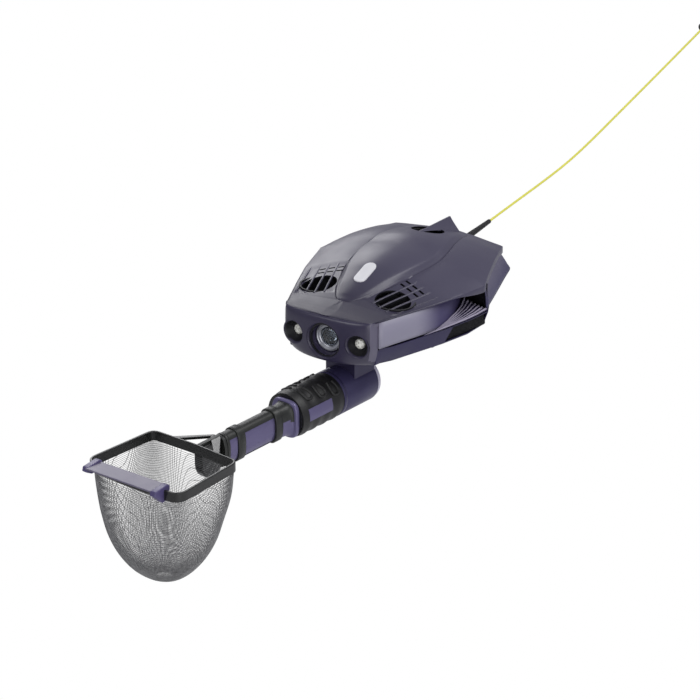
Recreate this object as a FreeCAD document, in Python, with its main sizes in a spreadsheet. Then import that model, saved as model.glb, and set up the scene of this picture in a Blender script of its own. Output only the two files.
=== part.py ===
import FreeCAD, Part
import Sketcher
import math
import os

# Underwater inspection vehicle with a swivelling sampling arm and a scoop net.
# Millimetres.  +Z is up, the nose points to -Y, the origin is the middle of the
# hull at the height of the rim between the deck shell and the lower hull.

V = FreeCAD.Vector
doc = FreeCAD.newDocument("InspectionVehicle")
sheet = doc.addObject("Spreadsheet::Sheet", "Sizes")


class Size:
    """A sheet value, or a sum or product of sheet values, with its formula."""

    def __init__(self, number, formula):
        self.number = float(number)
        self.formula = formula

    def __add__(self, other):
        return Size(self.number + num(other), "(%s + %s)" % (self.formula, form(other)))

    def __radd__(self, other):
        return Size(num(other) + self.number, "(%s + %s)" % (form(other), self.formula))

    def __sub__(self, other):
        return Size(self.number - num(other), "(%s - %s)" % (self.formula, form(other)))

    def __rsub__(self, other):
        return Size(num(other) - self.number, "(%s - %s)" % (form(other), self.formula))

    def __mul__(self, other):
        return Size(self.number * num(other), "(%s * %s)" % (self.formula, form(other)))

    def __neg__(self):
        return Size(-self.number, "(0 - %s)" % self.formula)


def num(value):
    return value.number if isinstance(value, Size) else float(value)


def form(value):
    return value.formula if isinstance(value, Size) else repr(float(value))


SIZES = [
    # deck shell and lower hull
    ("shell_wall", 2.4), ("rim_band", 6.0), ("shelf_top", -28.0), ("shelf_thick", 2.2),
    ("hull_bottom", -46.0), ("tub_wall", 2.4), ("keel_inset", 5.5), ("tub_front", -116.3),
    ("channel_inset", 1.6), ("panel_wall", 2.2), ("seat_gap", 0.2),
    # nose
    ("nose_tip", -128.0), ("nose_wall", 3.0), ("camera_height", -25.2), ("camera_recess", 18.2),
    ("camera_wall", 2.0), ("camera_depth", 26.0), ("lens_ring_radius", 12.5),
    ("lens_ring_wall", 3.0), ("lens_ring_depth", 10.0), ("window_thick", 2.5),
    ("lamp_offset", 34.5), ("lamp_recess", 9.6), ("lamp_depth", 6.0), ("lamp_lens", 4.5),
    ("lamp_wall", 1.0), ("lamp_front", -121.5),
    # thrusters
    ("vent_y", -64.7), ("vent_duct", 17.5), ("duct_wall", 1.5), ("vent_top", 2.0),
    ("rear_duct_y", 72.0), ("rear_duct", 16.8), ("rear_duct_top", 5.0),
    ("side_duct", 12.2), ("side_duct_x", 50.0), ("side_duct_z", -14.0),
    ("side_duct_front", 48.0), ("side_duct_rear", 98.0),
    ("duct_seat", 0.25), ("tip_gap", 1.3), ("motor_radius", 5.5), ("motor_length", 14.0),
    ("shaft_radius", 1.5), ("shaft_gap", 0.3), ("shaft_length", 9.0), ("hub_radius", 4.5),
    ("hub_length", 7.0), ("hub_gap", 0.6), ("blade_chord", 7.0), ("blade_thick", 1.3),
    ("blade_pitch", 28.0), ("blade_root", 2.2), ("strut_wide", 2.2), ("strut_tall", 6.0), ("prop_drop", 12.0),
    ("grille_bar", 2.2), ("grille_thick", 2.4), ("grille_ring", 2.0),
    # slots behind the vents
    ("slot_x", 52.3), ("slot_y", -36.5), ("slot_wide", 4.2), ("slot_long", 2.2),
    ("slot_pitch_x", 6.4), ("slot_pitch_y", 4.6),
    # inner parts
    ("vessel_radius", 19.6), ("vessel_height", -23.6), ("vessel_front", -94.0),
    ("vessel_rear", 46.0), ("vessel_wall", 2.0), ("vessel_cap", 4.0), ("pack_wide", 24.0),
    ("pack_long", 80.0), ("pack_tall", 16.0), ("board_thick", 1.6), ("board_gap", 5.0),
    # fin and badge
    ("fin_front", 51.0), ("fin_front_height", 22.5), ("fin_peak", 116.0),
    ("fin_peak_height", 18.2), ("fin_run_out", 3.5), ("fin_half_base", 11.0),
    ("badge_wide", 13.0), ("badge_long", 30.0), ("badge_thick", 1.4), ("badge_y", -50.0),
    # belly and swivel
    ("arm_pivot_y", -78.0), ("shoe_radius", 20.0), ("shoe_thick", 2.0), ("post_radius", 6.0),
    ("post_head", 9.0), ("post_head_thick", 3.0), ("post_neck", 11.0), ("swivel_gap", 0.35),
    ("foot_radius", 5.0), ("foot_height", 2.0), ("foot_x", 62.0), ("foot_y", -34.0),
    # tether
    ("tether_height", -15.5), ("tether_radius", 1.3), ("gland_radius", 8.0),
    ("gland_length", 14.0), ("gland_start", 115.5), ("relief_radius", 3.9),
    ("relief_tip_radius", 2.2), ("relief_length", 71.5),
    ("plug_radius", 6.0), ("plug_length", 24.0), ("plug_pin_radius", 3.0),
    ("plug_pin_length", 9.0),
    # arm: places along the arm are counted from the rear cap
    ("arm_height", -88.3), ("arm_turn", 8.3), ("pivot_along", 22.5), ("housing_radius", 23.0),
    ("housing_wall", 2.5), ("cap_thick", 6.0), ("cap_radius", 22.0), ("housing_end", 57.5),
    ("bracket_wide", 36.0), ("bracket_long", 30.0), ("drive_radius", 14.0),
    ("drive_length", 15.0), ("grip_end", 119.0), ("core_radius", 21.0), ("sleeve_radius", 23.4),
    ("sleeve_valley", 22.5), ("sleeve_seat", 0.1), ("flange_rim", 22.5), ("flange_end", 137.0),
    ("flange_neck", 17.9), ("clamp_radius", 18.5), ("clamp_rear_end", 147.0),
    ("pole_radius", 16.0), ("pole_wall", 3.0), ("pole_start", 30.0), ("pole_end", 213.7),
    ("rail_thick", 0.8), ("rail_start", 40.0), ("rail_angle", 124.0), ("rail_low_angle", 28.0),
    ("pole_gap", 0.4), ("clamp_front_start", 203.0),
    # net head
    ("roll_gap", 0.4), ("collar_thick", 3.9), ("collar_radius", 18.2), ("spigot_length", 16.0),
    ("web_thick", 6.0), ("web_top", 14.6), ("web_low", -21.0), ("gusset_thick", 2.4),
    ("frame_rear", 244.0), ("frame_front", 335.0), ("frame_half", 57.8), ("frame_low", 7.0),
    ("frame_tall", 10.0), ("frame_wall", 2.6), ("bag_depth", 115.5), ("bag_wall", 1.2),
    ("scraper_thick", 1.6), ("ear_low", 5.0),
]

# lines plan of the rim: place along the hull, half width, foot of the hump, its
# height, shoulder of the hump, its height, crown height
DECK = [
    (-127.5, 22.0, 6.0, 0.3, 3.0, 0.3, 0.3), (-124.0, 40.0, 7.0, 0.6, 3.0, 0.6, 0.6),
    (-120.0, 48.0, 8.0, 0.9, 4.0, 0.9, 0.9), (-110.0, 51.0, 9.0, 1.5, 5.0, 1.5, 1.5),
    (-92.0, 58.0, 9.0, 3.0, 6.0, 3.0, 3.0), (-68.0, 67.0, 21.0, 6.0, 15.0, 10.0, 12.5),
    (-50.0, 73.5, 28.0, 8.0, 21.0, 14.0, 18.0), (-32.0, 80.0, 34.0, 10.0, 28.0, 17.0, 23.0),
    (0.0, 89.0, 40.0, 12.0, 35.0, 19.0, 26.2), (20.0, 94.0, 42.0, 12.0, 36.0, 19.0, 25.6),
    (40.0, 87.0, 41.0, 11.0, 35.0, 17.0, 23.8), (62.0, 80.0, 36.0, 8.0, 30.0, 13.0, 19.0),
    (95.0, 69.0, 28.0, 5.0, 22.0, 8.0, 10.0), (115.0, 62.0, 22.0, 2.5, 16.0, 4.0, 4.5),
    (122.0, 36.0, 18.0, 2.0, 12.0, 3.0, 3.0), (127.0, 6.0, 3.0, 1.4, 2.0, 1.7, 1.8),
]
DECK_FIELDS = ("along", "rim", "foot", "foothigh", "shoulder", "shoulderhigh", "crown")
# lines plan of the lip below the side channels
LIP = [(49.0, -110.0), (52.0, -104.0), (58.8, -92.0), (67.8, -68.0), (74.5, -50.0),
       (81.0, -32.0), (90.0, 0.0), (95.0, 28.0), (86.5, 60.0), (77.0, 95.0),
       (70.0, 122.0), (36.0, 124.5), (6.0, 127.0)]
# foot of the channel wall, from the nose to the mouth of the side thruster
CHANNEL = [(76.0, -35.0), (76.3, -17.0), (72.0, 4.0), (61.0, 35.0), (35.0, 47.0)]

# the sheet
row = 1
names = []
for name, value in SIZES:
    names.append((name, value))
for i, station in enumerate(DECK):
    for field, value in zip(DECK_FIELDS, station):
        names.append(("deck_%s_%s" % (chr(97 + i), field), value))
for i, point in enumerate(LIP):
    names.append(("lip_%s_half" % chr(97 + i), point[0]))
    names.append(("lip_%s_along" % chr(97 + i), point[1]))
for i, point in enumerate(CHANNEL):
    names.append(("channel_%s_half" % chr(97 + i), point[0]))
    names.append(("channel_%s_along" % chr(97 + i), point[1]))
for name, value in names:
    sheet.set("A%d" % row, name)
    sheet.set("B%d" % row, "%g" % value)
    sheet.setAlias("B%d" % row, name)
    row += 1
doc.recompute()


class Sheet:
    """Sizes by name: S.shell_wall is the sheet's value of that name."""

    def __getattr__(self, name):
        return Size(getattr(sheet, name), "Sizes.%s" % name)


S = Sheet()
NODES = []


def n(name):
    return float(getattr(sheet, name))


def deck_station(i):
    return [n("deck_%s_%s" % (chr(97 + i), field)) for field in DECK_FIELDS]


def keep(obj, label):
    """List an object as a sub-part under its file name."""
    obj.Label = label
    NODES.append(obj)
    return obj


# ------------------------------------------------------------- sketch helpers

def polygon(sketch, points):
    """Closed polygon with every corner placed by sheet formulas."""
    count = len(points)
    for i in range(count):
        a, b = points[i], points[(i + 1) % count]
        start = V(num(a[0]), num(a[1]), 0)
        sketch.addGeometry(Part.LineSegment(start, V(num(b[0]), num(b[1]), 0)), False)
    for i in range(count):
        sketch.addConstraint(Sketcher.Constraint("Coincident", i, 2, (i + 1) % count, 1))
    for i in range(count):
        for axis, kind, line in ((0, "DistanceX", -2), (1, "DistanceY", -1)):
            value = points[i][axis]
            if not isinstance(value, Size) and value == 0:
                sketch.addConstraint(Sketcher.Constraint("PointOnObject", i, 1, line))
                continue
            k = sketch.addConstraint(Sketcher.Constraint(kind, -1, 1, i, 1, num(value)))
            if isinstance(value, Size):
                sketch.setExpression("Constraints[%d]" % k, value.formula)


def circle(sketch, x, y, radius):
    g = sketch.addGeometry(Part.Circle(V(num(x), num(y), 0), V(0, 0, 1), num(radius)), False)
    k = sketch.addConstraint(Sketcher.Constraint("Radius", g, num(radius)))
    sketch.setExpression("Constraints[%d]" % k, form(radius))
    for value, kind, line in ((x, "DistanceX", -2), (y, "DistanceY", -1)):
        if not isinstance(value, Size) and value == 0:
            sketch.addConstraint(Sketcher.Constraint("PointOnObject", g, 3, line))
            continue
        k = sketch.addConstraint(Sketcher.Constraint(kind, -1, 1, g, 3, num(value)))
        if isinstance(value, Size):
            sketch.setExpression("Constraints[%d]" % k, value.formula)


def new_sketch(body, name):
    sketch = body.newObject("Sketcher::SketchObject", name)
    for plane in body.Origin.OriginFeatures:
        if plane.Role == "XY_Plane":
            sketch.AttachmentSupport = [(plane, "")]
    sketch.MapMode = "FlatFace"
    return sketch


def lathe(label, profile, place, listed=True):
    """Body turned about its own Y axis from (radius, place along the axis) corners."""
    body = doc.addObject("PartDesign::Body", label)
    sketch = new_sketch(body, label + "_profile")
    polygon(sketch, profile)
    turn = body.newObject("PartDesign::Revolution", label + "_turn")
    turn.Profile = sketch
    turn.ReferenceAxis = (sketch, ["V_Axis"])
    turn.Angle = 360
    body.Placement = place
    return keep(body, label) if listed else body


def plate(label, outline, low, height, place, holes=(), listed=True):
    """Body cut from a flat outline, standing from low by height along its Z axis."""
    body = doc.addObject("PartDesign::Body", label)
    sketch = new_sketch(body, label + "_outline")
    polygon(sketch, outline)
    for x, y, radius in holes:
        circle(sketch, x, y, radius)
    sketch.setExpression(".AttachmentOffset.Base.z", form(low))
    pad = body.newObject("PartDesign::Pad", label + "_pad")
    pad.Profile = sketch
    pad.setExpression("Length", form(height))
    body.Placement = place
    return keep(body, label) if listed else body


def cylinder(label, radius, height, base, turn=None, listed=False):
    obj = doc.addObject("Part::Cylinder", label)
    obj.setExpression("Radius", form(radius))
    obj.setExpression("Height", form(height))
    obj.Placement = FreeCAD.Placement(base, turn or FreeCAD.Rotation())
    return keep(obj, label) if listed else obj


def block(label, length, width, height, base, turn=None, listed=False):
    obj = doc.addObject("Part::Box", label)
    obj.setExpression("Length", form(length))
    obj.setExpression("Width", form(width))
    obj.setExpression("Height", form(height))
    obj.Placement = FreeCAD.Placement(base, turn or FreeCAD.Rotation())
    return keep(obj, label) if listed else obj


def cut(label, base, tool, listed=True):
    obj = doc.addObject("Part::Cut", label)
    obj.Base = base
    obj.Tool = tool
    return keep(obj, label) if listed else obj


def fuse(label, shapes, listed=True):
    obj = doc.addObject("Part::MultiFuse", label)
    obj.Shapes = shapes
    return keep(obj, label) if listed else obj


def feature(label, shape, place=None, listed=True):
    obj = doc.addObject("Part::Feature", label)
    obj.Shape = shape
    obj.Placement = place or FreeCAD.Placement()
    return keep(obj, label) if listed else obj


# ------------------------------------------------------------ outline helpers

def inset(points, distance):
    """Closed outline, counter-clockwise, moved inward by distance."""
    count = len(points)
    moved = []
    for i in range(count):
        before, here, after = points[i - 1], points[i], points[(i + 1) % count]
        moved.append(mitre(before, here, after, distance))
    return moved


def mitre(before, here, after, distance):
    a = unit(here[0] - before[0], here[1] - before[1])
    b = unit(after[0] - here[0], after[1] - here[1])
    side = unit(-(a[1] + b[1]), a[0] + b[0])
    spread = max(0.3, side[0] * -a[1] + side[1] * a[0])
    return (here[0] + side[0] * distance / spread, here[1] + side[1] * distance / spread)


def unit(x, y):
    size = math.hypot(x, y)
    return (x / size, y / size)


def strip(path, thick):
    """Band of even thickness on the left of an open path."""
    inner = []
    for i, here in enumerate(path):
        before = path[i - 1] if i else (2 * here[0] - path[1][0], 2 * here[1] - path[1][1])
        after = path[i + 1] if i + 1 < len(path) else (
            2 * here[0] - path[i - 1][0], 2 * here[1] - path[i - 1][1])
        inner.append(mitre(before, here, after, thick))
    return list(path) + inner[::-1]


def closed(half):
    """Both sides of a half outline, counter-clockwise."""
    return list(half) + [(-x, y) for x, y in reversed(half)]


def wire(points, z):
    corners = [V(x, y, z) for x, y in points]
    return Part.makePolygon(corners + [corners[0]])


def prism(points, low, high):
    return Part.Face(wire(points, low)).extrude(V(0, 0, high - low))


def loft(wires):
    return Part.makeLoft(wires, True, True)


def mirrored(shape):
    return shape.mirror(V(0, 0, 0), V(1, 0, 0))


UP = FreeCAD.Rotation(V(1, 0, 0), 90)


# ------------------------------------------------------------------ deck shell

def rim_half():
    return [(deck_station(i)[1], deck_station(i)[0]) for i in range(len(DECK))]


def deck_section(half, along, foot, foot_high, shoulder, shoulder_high, crown, low):
    side = [(half, low), (half, 0.0), ((half + foot) / 2, 0.6 * foot_high), (foot, foot_high),
            (shoulder, shoulder_high),
            (shoulder / 2, shoulder_high + 0.7 * (crown - shoulder_high))]
    points = side + [(0.0, crown)] + [(-x, z) for x, z in reversed(side)]
    corners = [V(x, along, z) for x, z in points]
    return Part.makePolygon(corners + [corners[0]])


def deck_solids():
    """Outer form of the deck shell and the hollow below it."""
    wall, band = n("shell_wall"), n("rim_band")
    half = rim_half()
    hollow = inset(closed(half), wall)[:len(half)]
    outer, inner = [], []
    for i in range(len(DECK)):
        along, rim, foot, foot_high, shoulder, shoulder_high, crown = deck_station(i)
        outer.append(deck_section(rim, along, foot, foot_high, shoulder, shoulder_high,
                                  crown, -band))
        w, y = hollow[i]
        share = max(w, 1.0) / rim
        section = deck_section(w, y, foot * share, foot_high, shoulder * share,
                               shoulder_high, crown, -band - 2)
        section.translate(V(0, 0, -wall))
        inner.append(section)
    return loft(outer), loft(inner)


DECK_OUTER, DECK_INNER = deck_solids()


def rim_at(along):
    half = rim_half()
    for (x0, y0), (x1, y1) in zip(half, half[1:]):
        if y0 <= along <= y1:
            return x0 + (x1 - x0) * (along - y0) / (y1 - y0)
    return half[-1][0]


def vent_x():
    """Middle of a front vent, as far out as the channel wall allows."""
    return rim_at(n("vent_y")) - n("channel_inset") - n("panel_wall") - n("duct_wall") \
        - n("vent_duct") - 1.6


def upper_shell():
    shape = DECK_OUTER.cut(DECK_INNER)
    tools = []
    for side in (-1, 1):
        hole = n("vent_duct") + n("duct_wall") + n("duct_seat")
        tools.append(Part.makeCylinder(hole, 60, V(side * vent_x(), n("vent_y"), -20)))
        for i in range(3):
            for j in range(4):
                x = side * (n("slot_x") + (i - 1) * n("slot_pitch_x"))
                y = n("slot_y") + (j - 1.5) * n("slot_pitch_y")
                tools.append(Part.makeBox(n("slot_wide"), n("slot_long"), 40,
                                          V(x - n("slot_wide") / 2, y, -12)))
    tools.append(Part.makeCylinder(n("rear_duct"), 60, V(0, n("rear_duct_y"), -20)))
    feature("upper_shell", shape.cut(tools))


def tail_fin():
    front, top = n("fin_front"), n("fin_front_height")
    peak, high = n("fin_peak"), n("fin_peak_height")
    rear, half = peak + n("fin_run_out"), n("fin_half_base")
    sections = []
    for y, z, w in ((front, top, 0.6), ((front + peak) / 2, (top + high) / 2, half * 0.55),
                    (peak, high, half), (rear, high * 0.45, half * 0.9)):
        corners = [V(0.5, y, z), V(-0.5, y, z), V(-w, y, -3), V(w, y, -3)]
        sections.append(Part.makePolygon(corners + [corners[0]]))
    shape = loft(sections).cut(DECK_OUTER)
    solids = sorted(shape.Solids, key=lambda s: -s.Volume)
    feature("tail_fin", solids[0])


def badge_plate():
    """Plain oval plate let into the crown between the vents."""
    wide, long = n("badge_wide"), n("badge_long")
    y0, y1 = n("badge_y") - long / 2, n("badge_y") + long / 2
    middle = Part.makeBox(wide, long - wide, 60, V(-wide / 2, y0 + wide / 2, -10))
    column = middle.fuse([Part.makeCylinder(wide / 2, 60, V(0, y0 + wide / 2, -10)),
                          Part.makeCylinder(wide / 2, 60, V(0, y1 - wide / 2, -10))])
    lifted = DECK_OUTER.copy()
    lifted.translate(V(0, 0, n("badge_thick")))
    shape = column.common(lifted).cut(DECK_OUTER)
    solids = sorted(shape.Solids, key=lambda s: -s.Volume)
    feature("badge_plate", solids[0])


# ------------------------------------------------------------------ lower hull

def lip_half():
    letters = [chr(97 + i) for i in range(len(LIP))]
    return [(n("lip_%s_half" % c), n("lip_%s_along" % c)) for c in letters]


def lower_outline():
    half = lip_half()
    front = n("tub_front")
    return closed([(half[0][0], front)] + half)


def openings_through_floor():
    """Clear space for the ducts that pass through shelf and floor."""
    seat = n("duct_wall") + n("duct_seat")
    tools = []
    for side in (-1, 1):
        tools.append(Part.makeCylinder(n("vent_duct") + seat, 60,
                                       V(side * vent_x(), n("vent_y"), -60)))
    tools.append(Part.makeCylinder(n("rear_duct") + seat, 60, V(0, n("rear_duct_y"), -60)))
    return tools


def lower_hull():
    top = n("shelf_top") - n("shelf_thick")
    low, wall = n("hull_bottom"), n("tub_wall")
    outline = inset(lower_outline(), 0.9)
    keel = inset(outline, n("keel_inset"))
    outer = loft([wire(keel, low), wire(outline, top)])
    inner = loft([wire(inset(keel, wall), low + wall), wire(inset(outline, wall), top + 0.01)])
    shape = outer.cut(inner)
    tools = openings_through_floor()
    tools.append(camera_space(n("tub_wall") + n("keel_inset") + 5))
    for side in (-1, 1):
        grille = Part.makeBox(12, 26, 9.5, V(side * 88 - 6, 2, top - 12))
        tools.append(grille)
    tools.append(Part.makeCylinder(n("post_radius") + n("seat_gap"), 10,
                                   V(0, n("arm_pivot_y"), low - 2)))
    feature("lower_hull", shape.cut(tools).fuse(belly_feet()))


def camera_space(depth):
    radius = n("camera_recess") - 0.3 + n("seat_gap")
    start = n("tub_front") - 1
    return Part.makeCylinder(radius, depth, V(0, start, n("camera_height")), V(0, 1, 0))


def shelf_plate():
    top, thick = n("shelf_top"), n("shelf_thick")
    shape = prism(lower_outline(), top - thick, top)
    half = n("vessel_radius") + 1.0
    middle = Part.makeBox(2 * half, n("vessel_rear") + 6 - n("tub_front") + 2, 8,
                          V(-half, n("tub_front") - 2, top - 5))
    tools = openings_through_floor() + [middle]
    feature("shelf_plate", shape.cut(tools))


def channel_path():
    """Foot of the light channel wall on the +X side, from nose to thruster."""
    rim = [(deck_station(i)[1], deck_station(i)[0]) for i in range(3, 7)]
    inside = [(x - n("channel_inset"), y) for x, y in rim]
    letters = [chr(97 + i) for i in range(len(CHANNEL))]
    foot = [(n("channel_%s_half" % c), n("channel_%s_along" % c)) for c in letters]
    return [(inside[0][0] - 1.0, n("tub_front") + 0.5)] + inside + foot


def side_walls():
    path = channel_path()
    shape = prism(strip(path, n("panel_wall")), n("shelf_top"), -n("rim_band"))
    feature("side_wall_right", shape)
    feature("side_wall_left", mirrored(shape))


def intake_ribs():
    """Curved ribs on the channel floor, fanning out towards the thruster mouth."""
    foot = [(n("channel_%s_half" % c), n("channel_%s_along" % c)) for c in "abcd"]
    foot = [(75.6, -46.0)] + foot
    bars = []
    for k in range(6):
        share = (k + 0.55) / 6.2
        path = []
        for i, (x, y) in enumerate(foot):
            reach = lip_at(y) - 1.5 - x
            y_end = y - (6.5 * k if i == len(foot) - 1 else 0.0)
            path.append((x + reach * share, y_end))
        if k > 2:
            path = path[1:]
        shape = prism(strip(path, 1.9), n("shelf_top"), n("shelf_top") + 2.6)
        bars.append(shape)
    keel = prism([(72.0, -3.0), (lip_at(-3) - 2, -3.0), (lip_at(-1) - 2, -1.0), (72.0, -1.0)],
                 n("shelf_top"), n("shelf_top") + 1.4)
    wall = prism(strip(channel_path(), n("panel_wall")), n("shelf_top") - 1, -n("rim_band"))
    shape = keel.fuse(bars).cut(wall)
    shape = sorted(shape.Solids, key=lambda s: -s.Volume)[0]
    feature("intake_ribs_right", shape)
    feature("intake_ribs_left", mirrored(shape))


def lip_at(along):
    half = lip_half()
    for (x0, y0), (x1, y1) in zip(half, half[1:]):
        if y0 <= along <= y1:
            return x0 + (x1 - x0) * (along - y0) / (y1 - y0)
    return half[0][0]


def rear_shrouds():
    """Slanted facet panels between the rim and the lip behind the side channels."""
    wall = n("panel_wall")
    rim = rim_half()
    high = [(x - 0.6, y) for x, y in rim[9:14]]
    low = [(x - 0.8, y) for x, y in lip_half()[7:11]]
    low.insert(1, ((low[0][0] + low[1][0]) / 2, (low[0][1] + low[1][1]) / 2))
    shape = loft([wire(strip(low, wall), n("shelf_top")), wire(strip(high, wall), -n("rim_band"))])
    feature("rear_shroud_right", shape)
    feature("rear_shroud_left", mirrored(shape))


def stern_panel():
    """Upright tail wall with the two jets and the tether outlet."""
    wall = n("panel_wall")
    path = [(57.5, 113.0), (33.0, 120.5), (5.0, 125.0), (-5.0, 125.0), (-33.0, 120.5),
            (-57.5, 113.0)]
    shape = prism(strip(path, wall), n("shelf_top"), -n("rim_band"))
    tools = [Part.makeCylinder(n("gland_radius") + n("seat_gap"), 40,
                               V(0, 100, n("tether_height")), V(0, 1, 0))]
    for side in (-1, 1):
        tools.append(Part.makeCylinder(n("side_duct") - 3.0, 40,
                                       V(side * n("side_duct_x"), 100, n("side_duct_z") - 2.6),
                                       V(0, 1, 0)))
    feature("stern_panel", shape.cut(tools))


def belly_feet():
    """Two landing pips moulded on the belly."""
    parts = []
    for side in (-1, 1):
        parts.append(Part.makeCone(n("foot_radius"), n("foot_radius") - 1.5, n("foot_height"),
                                   V(side * n("foot_x"), n("foot_y"), n("hull_bottom")),
                                   V(0, 0, -1)))
    return parts


# ------------------------------------------------------------------------ nose

def nose_face():
    rim = rim_half()
    front = [(0.0, n("nose_tip"))] + [(x, y) for x, y in rim[:3]]
    outline = [(x - (0.4 if i == 3 else 0), y) for i, (x, y) in enumerate(front)]
    full = [(-x, y) for x, y in reversed(outline[1:])] + outline
    shape = prism(strip(full, n("nose_wall")), n("hull_bottom"), -n("rim_band"))
    tools = [Part.makeCylinder(n("camera_recess"), 40, V(0, n("nose_tip") - 5,
                                                         n("camera_height")), V(0, 1, 0))]
    for side in (-1, 1):
        tools.append(Part.makeCylinder(n("lamp_recess"), 40,
                                       V(side * n("lamp_offset"), n("nose_tip") - 5,
                                         n("camera_height")), V(0, 1, 0)))
    feature("nose_face", shape.cut(tools))


def camera():
    """Camera pot, its clamping ring and the clear window in front of it."""
    place = FreeCAD.Placement(V(0, n("nose_tip") + 3.4, n("camera_height")), FreeCAD.Rotation())
    outer = S.camera_recess - 0.3
    inner = outer - S.camera_wall
    depth = S.camera_depth
    lathe("camera_housing", [(inner, 0), (outer, 0), (outer, depth), (0, depth),
                             (0, depth - S.camera_wall), (inner, depth - S.camera_wall)], place)
    ring = S.lens_ring_radius
    hole = ring - S.lens_ring_wall
    back = depth - S.camera_wall
    front = back - S.lens_ring_depth
    lathe("camera_lens_ring", [(hole, front), (ring - 1.2, front), (ring, front + 1.2),
                               (inner, back - 4), (inner, back), (hole, back)], place)
    lathe("camera_window", [(0, front + 3), (hole, front + 3),
                            (hole, front + 3 + S.window_thick),
                            (0, front + 3 + S.window_thick)], place)


def lamps():
    for side, word in ((-1, "left"), (1, "right")):
        place = FreeCAD.Placement(V(side * n("lamp_offset"), n("lamp_front"),
                                    n("camera_height")), FreeCAD.Rotation())
        outer = S.lamp_recess - S.seat_gap - S.lamp_wall * 0.0
        inner = outer - S.lamp_wall
        depth = S.lamp_depth - S.seat_gap * 5
        seat = depth - S.lamp_wall
        throat = S.lamp_lens + 0.5
        lathe("lamp_reflector_" + word, [(inner, 0), (outer, 0), (outer, depth), (0, depth),
                                         (0, seat), (throat, seat)], place)
        lathe("lamp_lens_" + word, [(0, seat - 2.2), (S.lamp_lens * 0.6, seat - 1.8),
                                    (S.lamp_lens, seat - 0.8), (S.lamp_lens, seat),
                                    (0, seat)], place)


# ------------------------------------------------------------------- thrusters

def thruster(word, centre, turn, inner, back, front):
    """Duct with motor and struts, and its propeller, along a local Z axis.

    back and front are the duct's ends measured from the propeller's plane.
    """
    wall = S.duct_wall
    place = FreeCAD.Placement(centre, turn)
    ring = cylinder(word + "_ring", inner + wall, front - back, V(0, 0, 0))
    ring.setExpression(".Placement.Base.z", form(back))
    bore = cylinder(word + "_bore", inner, front - back + 2, V(0, 0, 0))
    bore.setExpression(".Placement.Base.z", form(back - 1))
    tube = cut(word + "_tube", ring, bore, listed=False)
    motor_top = -(S.hub_length * 0.5 + S.hub_gap)
    motor = cylinder(word + "_motor", S.motor_radius, S.motor_length, V(0, 0, 0))
    motor.setExpression(".Placement.Base.z", form(motor_top - S.motor_length))
    shaft = cylinder(word + "_shaft", S.shaft_radius, S.shaft_length, V(0, 0, 0))
    shaft.setExpression(".Placement.Base.z", form(motor_top - 0.5))
    struts = []
    for i in range(3):
        strut = block(word + "_strut%s" % "abc"[i], inner + wall * 0.5 - 2, S.strut_wide,
                      S.strut_tall, V(0, 0, 0))
        base = motor_top - S.motor_length + 3
        angle = 90 + 120 * i
        spin = FreeCAD.Rotation(V(0, 0, 1), angle)
        corner = spin.multVec(V(2, -n("strut_wide") / 2, 0))
        strut.Placement = FreeCAD.Placement(corner, spin)
        strut.setExpression(".Placement.Base.z", form(base))
        struts.append(strut)
    body = fuse("thruster_" + word, [tube, motor, shaft] + struts)
    body.Placement = place
    hub_low = -(S.hub_length * 0.5)
    bore = S.shaft_radius + S.shaft_gap
    hub = lathe(word + "_hub", [(bore, hub_low), (S.hub_radius, hub_low),
                                (S.hub_radius, hub_low + S.hub_length - 1.1),
                                (S.hub_radius - 1.1, hub_low + S.hub_length),
                                (bore, hub_low + S.hub_length)],
                FreeCAD.Placement(V(0, 0, 0), UP), listed=False)
    blades = []
    root = n("hub_radius") - n("blade_root")
    for i in range(3):
        blade = block(word + "_blade%s" % "abc"[i], inner - S.tip_gap - S.hub_radius + S.blade_root - 0.4,
                      S.blade_chord, S.blade_thick, V(0, 0, 0))
        spin = FreeCAD.Rotation(V(0, 0, 1), 30 + 120 * i)
        pitch = FreeCAD.Rotation(V(1, 0, 0), n("blade_pitch"))
        whole = spin.multiply(pitch)
        centre_off = V(root, -n("blade_chord") / 2, -n("blade_thick") / 2)
        blade.Placement = FreeCAD.Placement(whole.multVec(centre_off), whole)
        blades.append(blade)
    prop = fuse("propeller_" + word, [hub] + blades)
    prop.Placement = place


def thrusters():
    drop = S.prop_drop
    low = S.hull_bottom
    for side, word in ((-1, "front_left"), (1, "front_right")):
        level = S.vent_top - drop
        centre = V(side * vent_x(), n("vent_y"), num(level))
        thruster(word, centre, FreeCAD.Rotation(), S.vent_duct, low - level,
                 S.vent_top - level)
    level = S.rear_duct_top - drop
    thruster("rear", V(0, n("rear_duct_y"), num(level)), FreeCAD.Rotation(), S.rear_duct,
             low - level, S.rear_duct_top - level)
    length = S.side_duct_rear - S.side_duct_front
    for side, word in ((-1, "side_left"), (1, "side_right")):
        centre = V(side * n("side_duct_x"), num(S.side_duct_front + drop), n("side_duct_z"))
        thruster(word, centre, FreeCAD.Rotation(V(1, 0, 0), 90), S.side_duct,
                 drop - length, drop)


def vent_grilles():
    """Flat ring with fore-and-aft bars in the top of each front duct."""
    outer = n("vent_duct") - n("seat_gap")
    thick, bar = n("grille_thick"), n("grille_bar")
    top = n("vent_top")
    for side, word in ((-1, "left"), (1, "right")):
        centre = V(side * vent_x(), n("vent_y"), top - thick)
        disc = Part.makeCylinder(outer, thick, centre)
        hole = Part.makeCylinder(outer - n("grille_ring"), thick + 2, centre - V(0, 0, 1))
        ring = disc.cut(hole)
        bars = []
        for k in (-1.5, -0.5, 0.5, 1.5):
            x = centre.x + k * outer * 0.44
            bars.append(Part.makeBox(bar, 2 * outer, thick, V(x - bar / 2, centre.y - outer,
                                                               centre.z)))
        shape = ring.fuse([b.common(disc) for b in bars])
        feature("vent_grille_" + word, shape.removeSplitter())


# ----------------------------------------------------------------- inner parts

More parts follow.
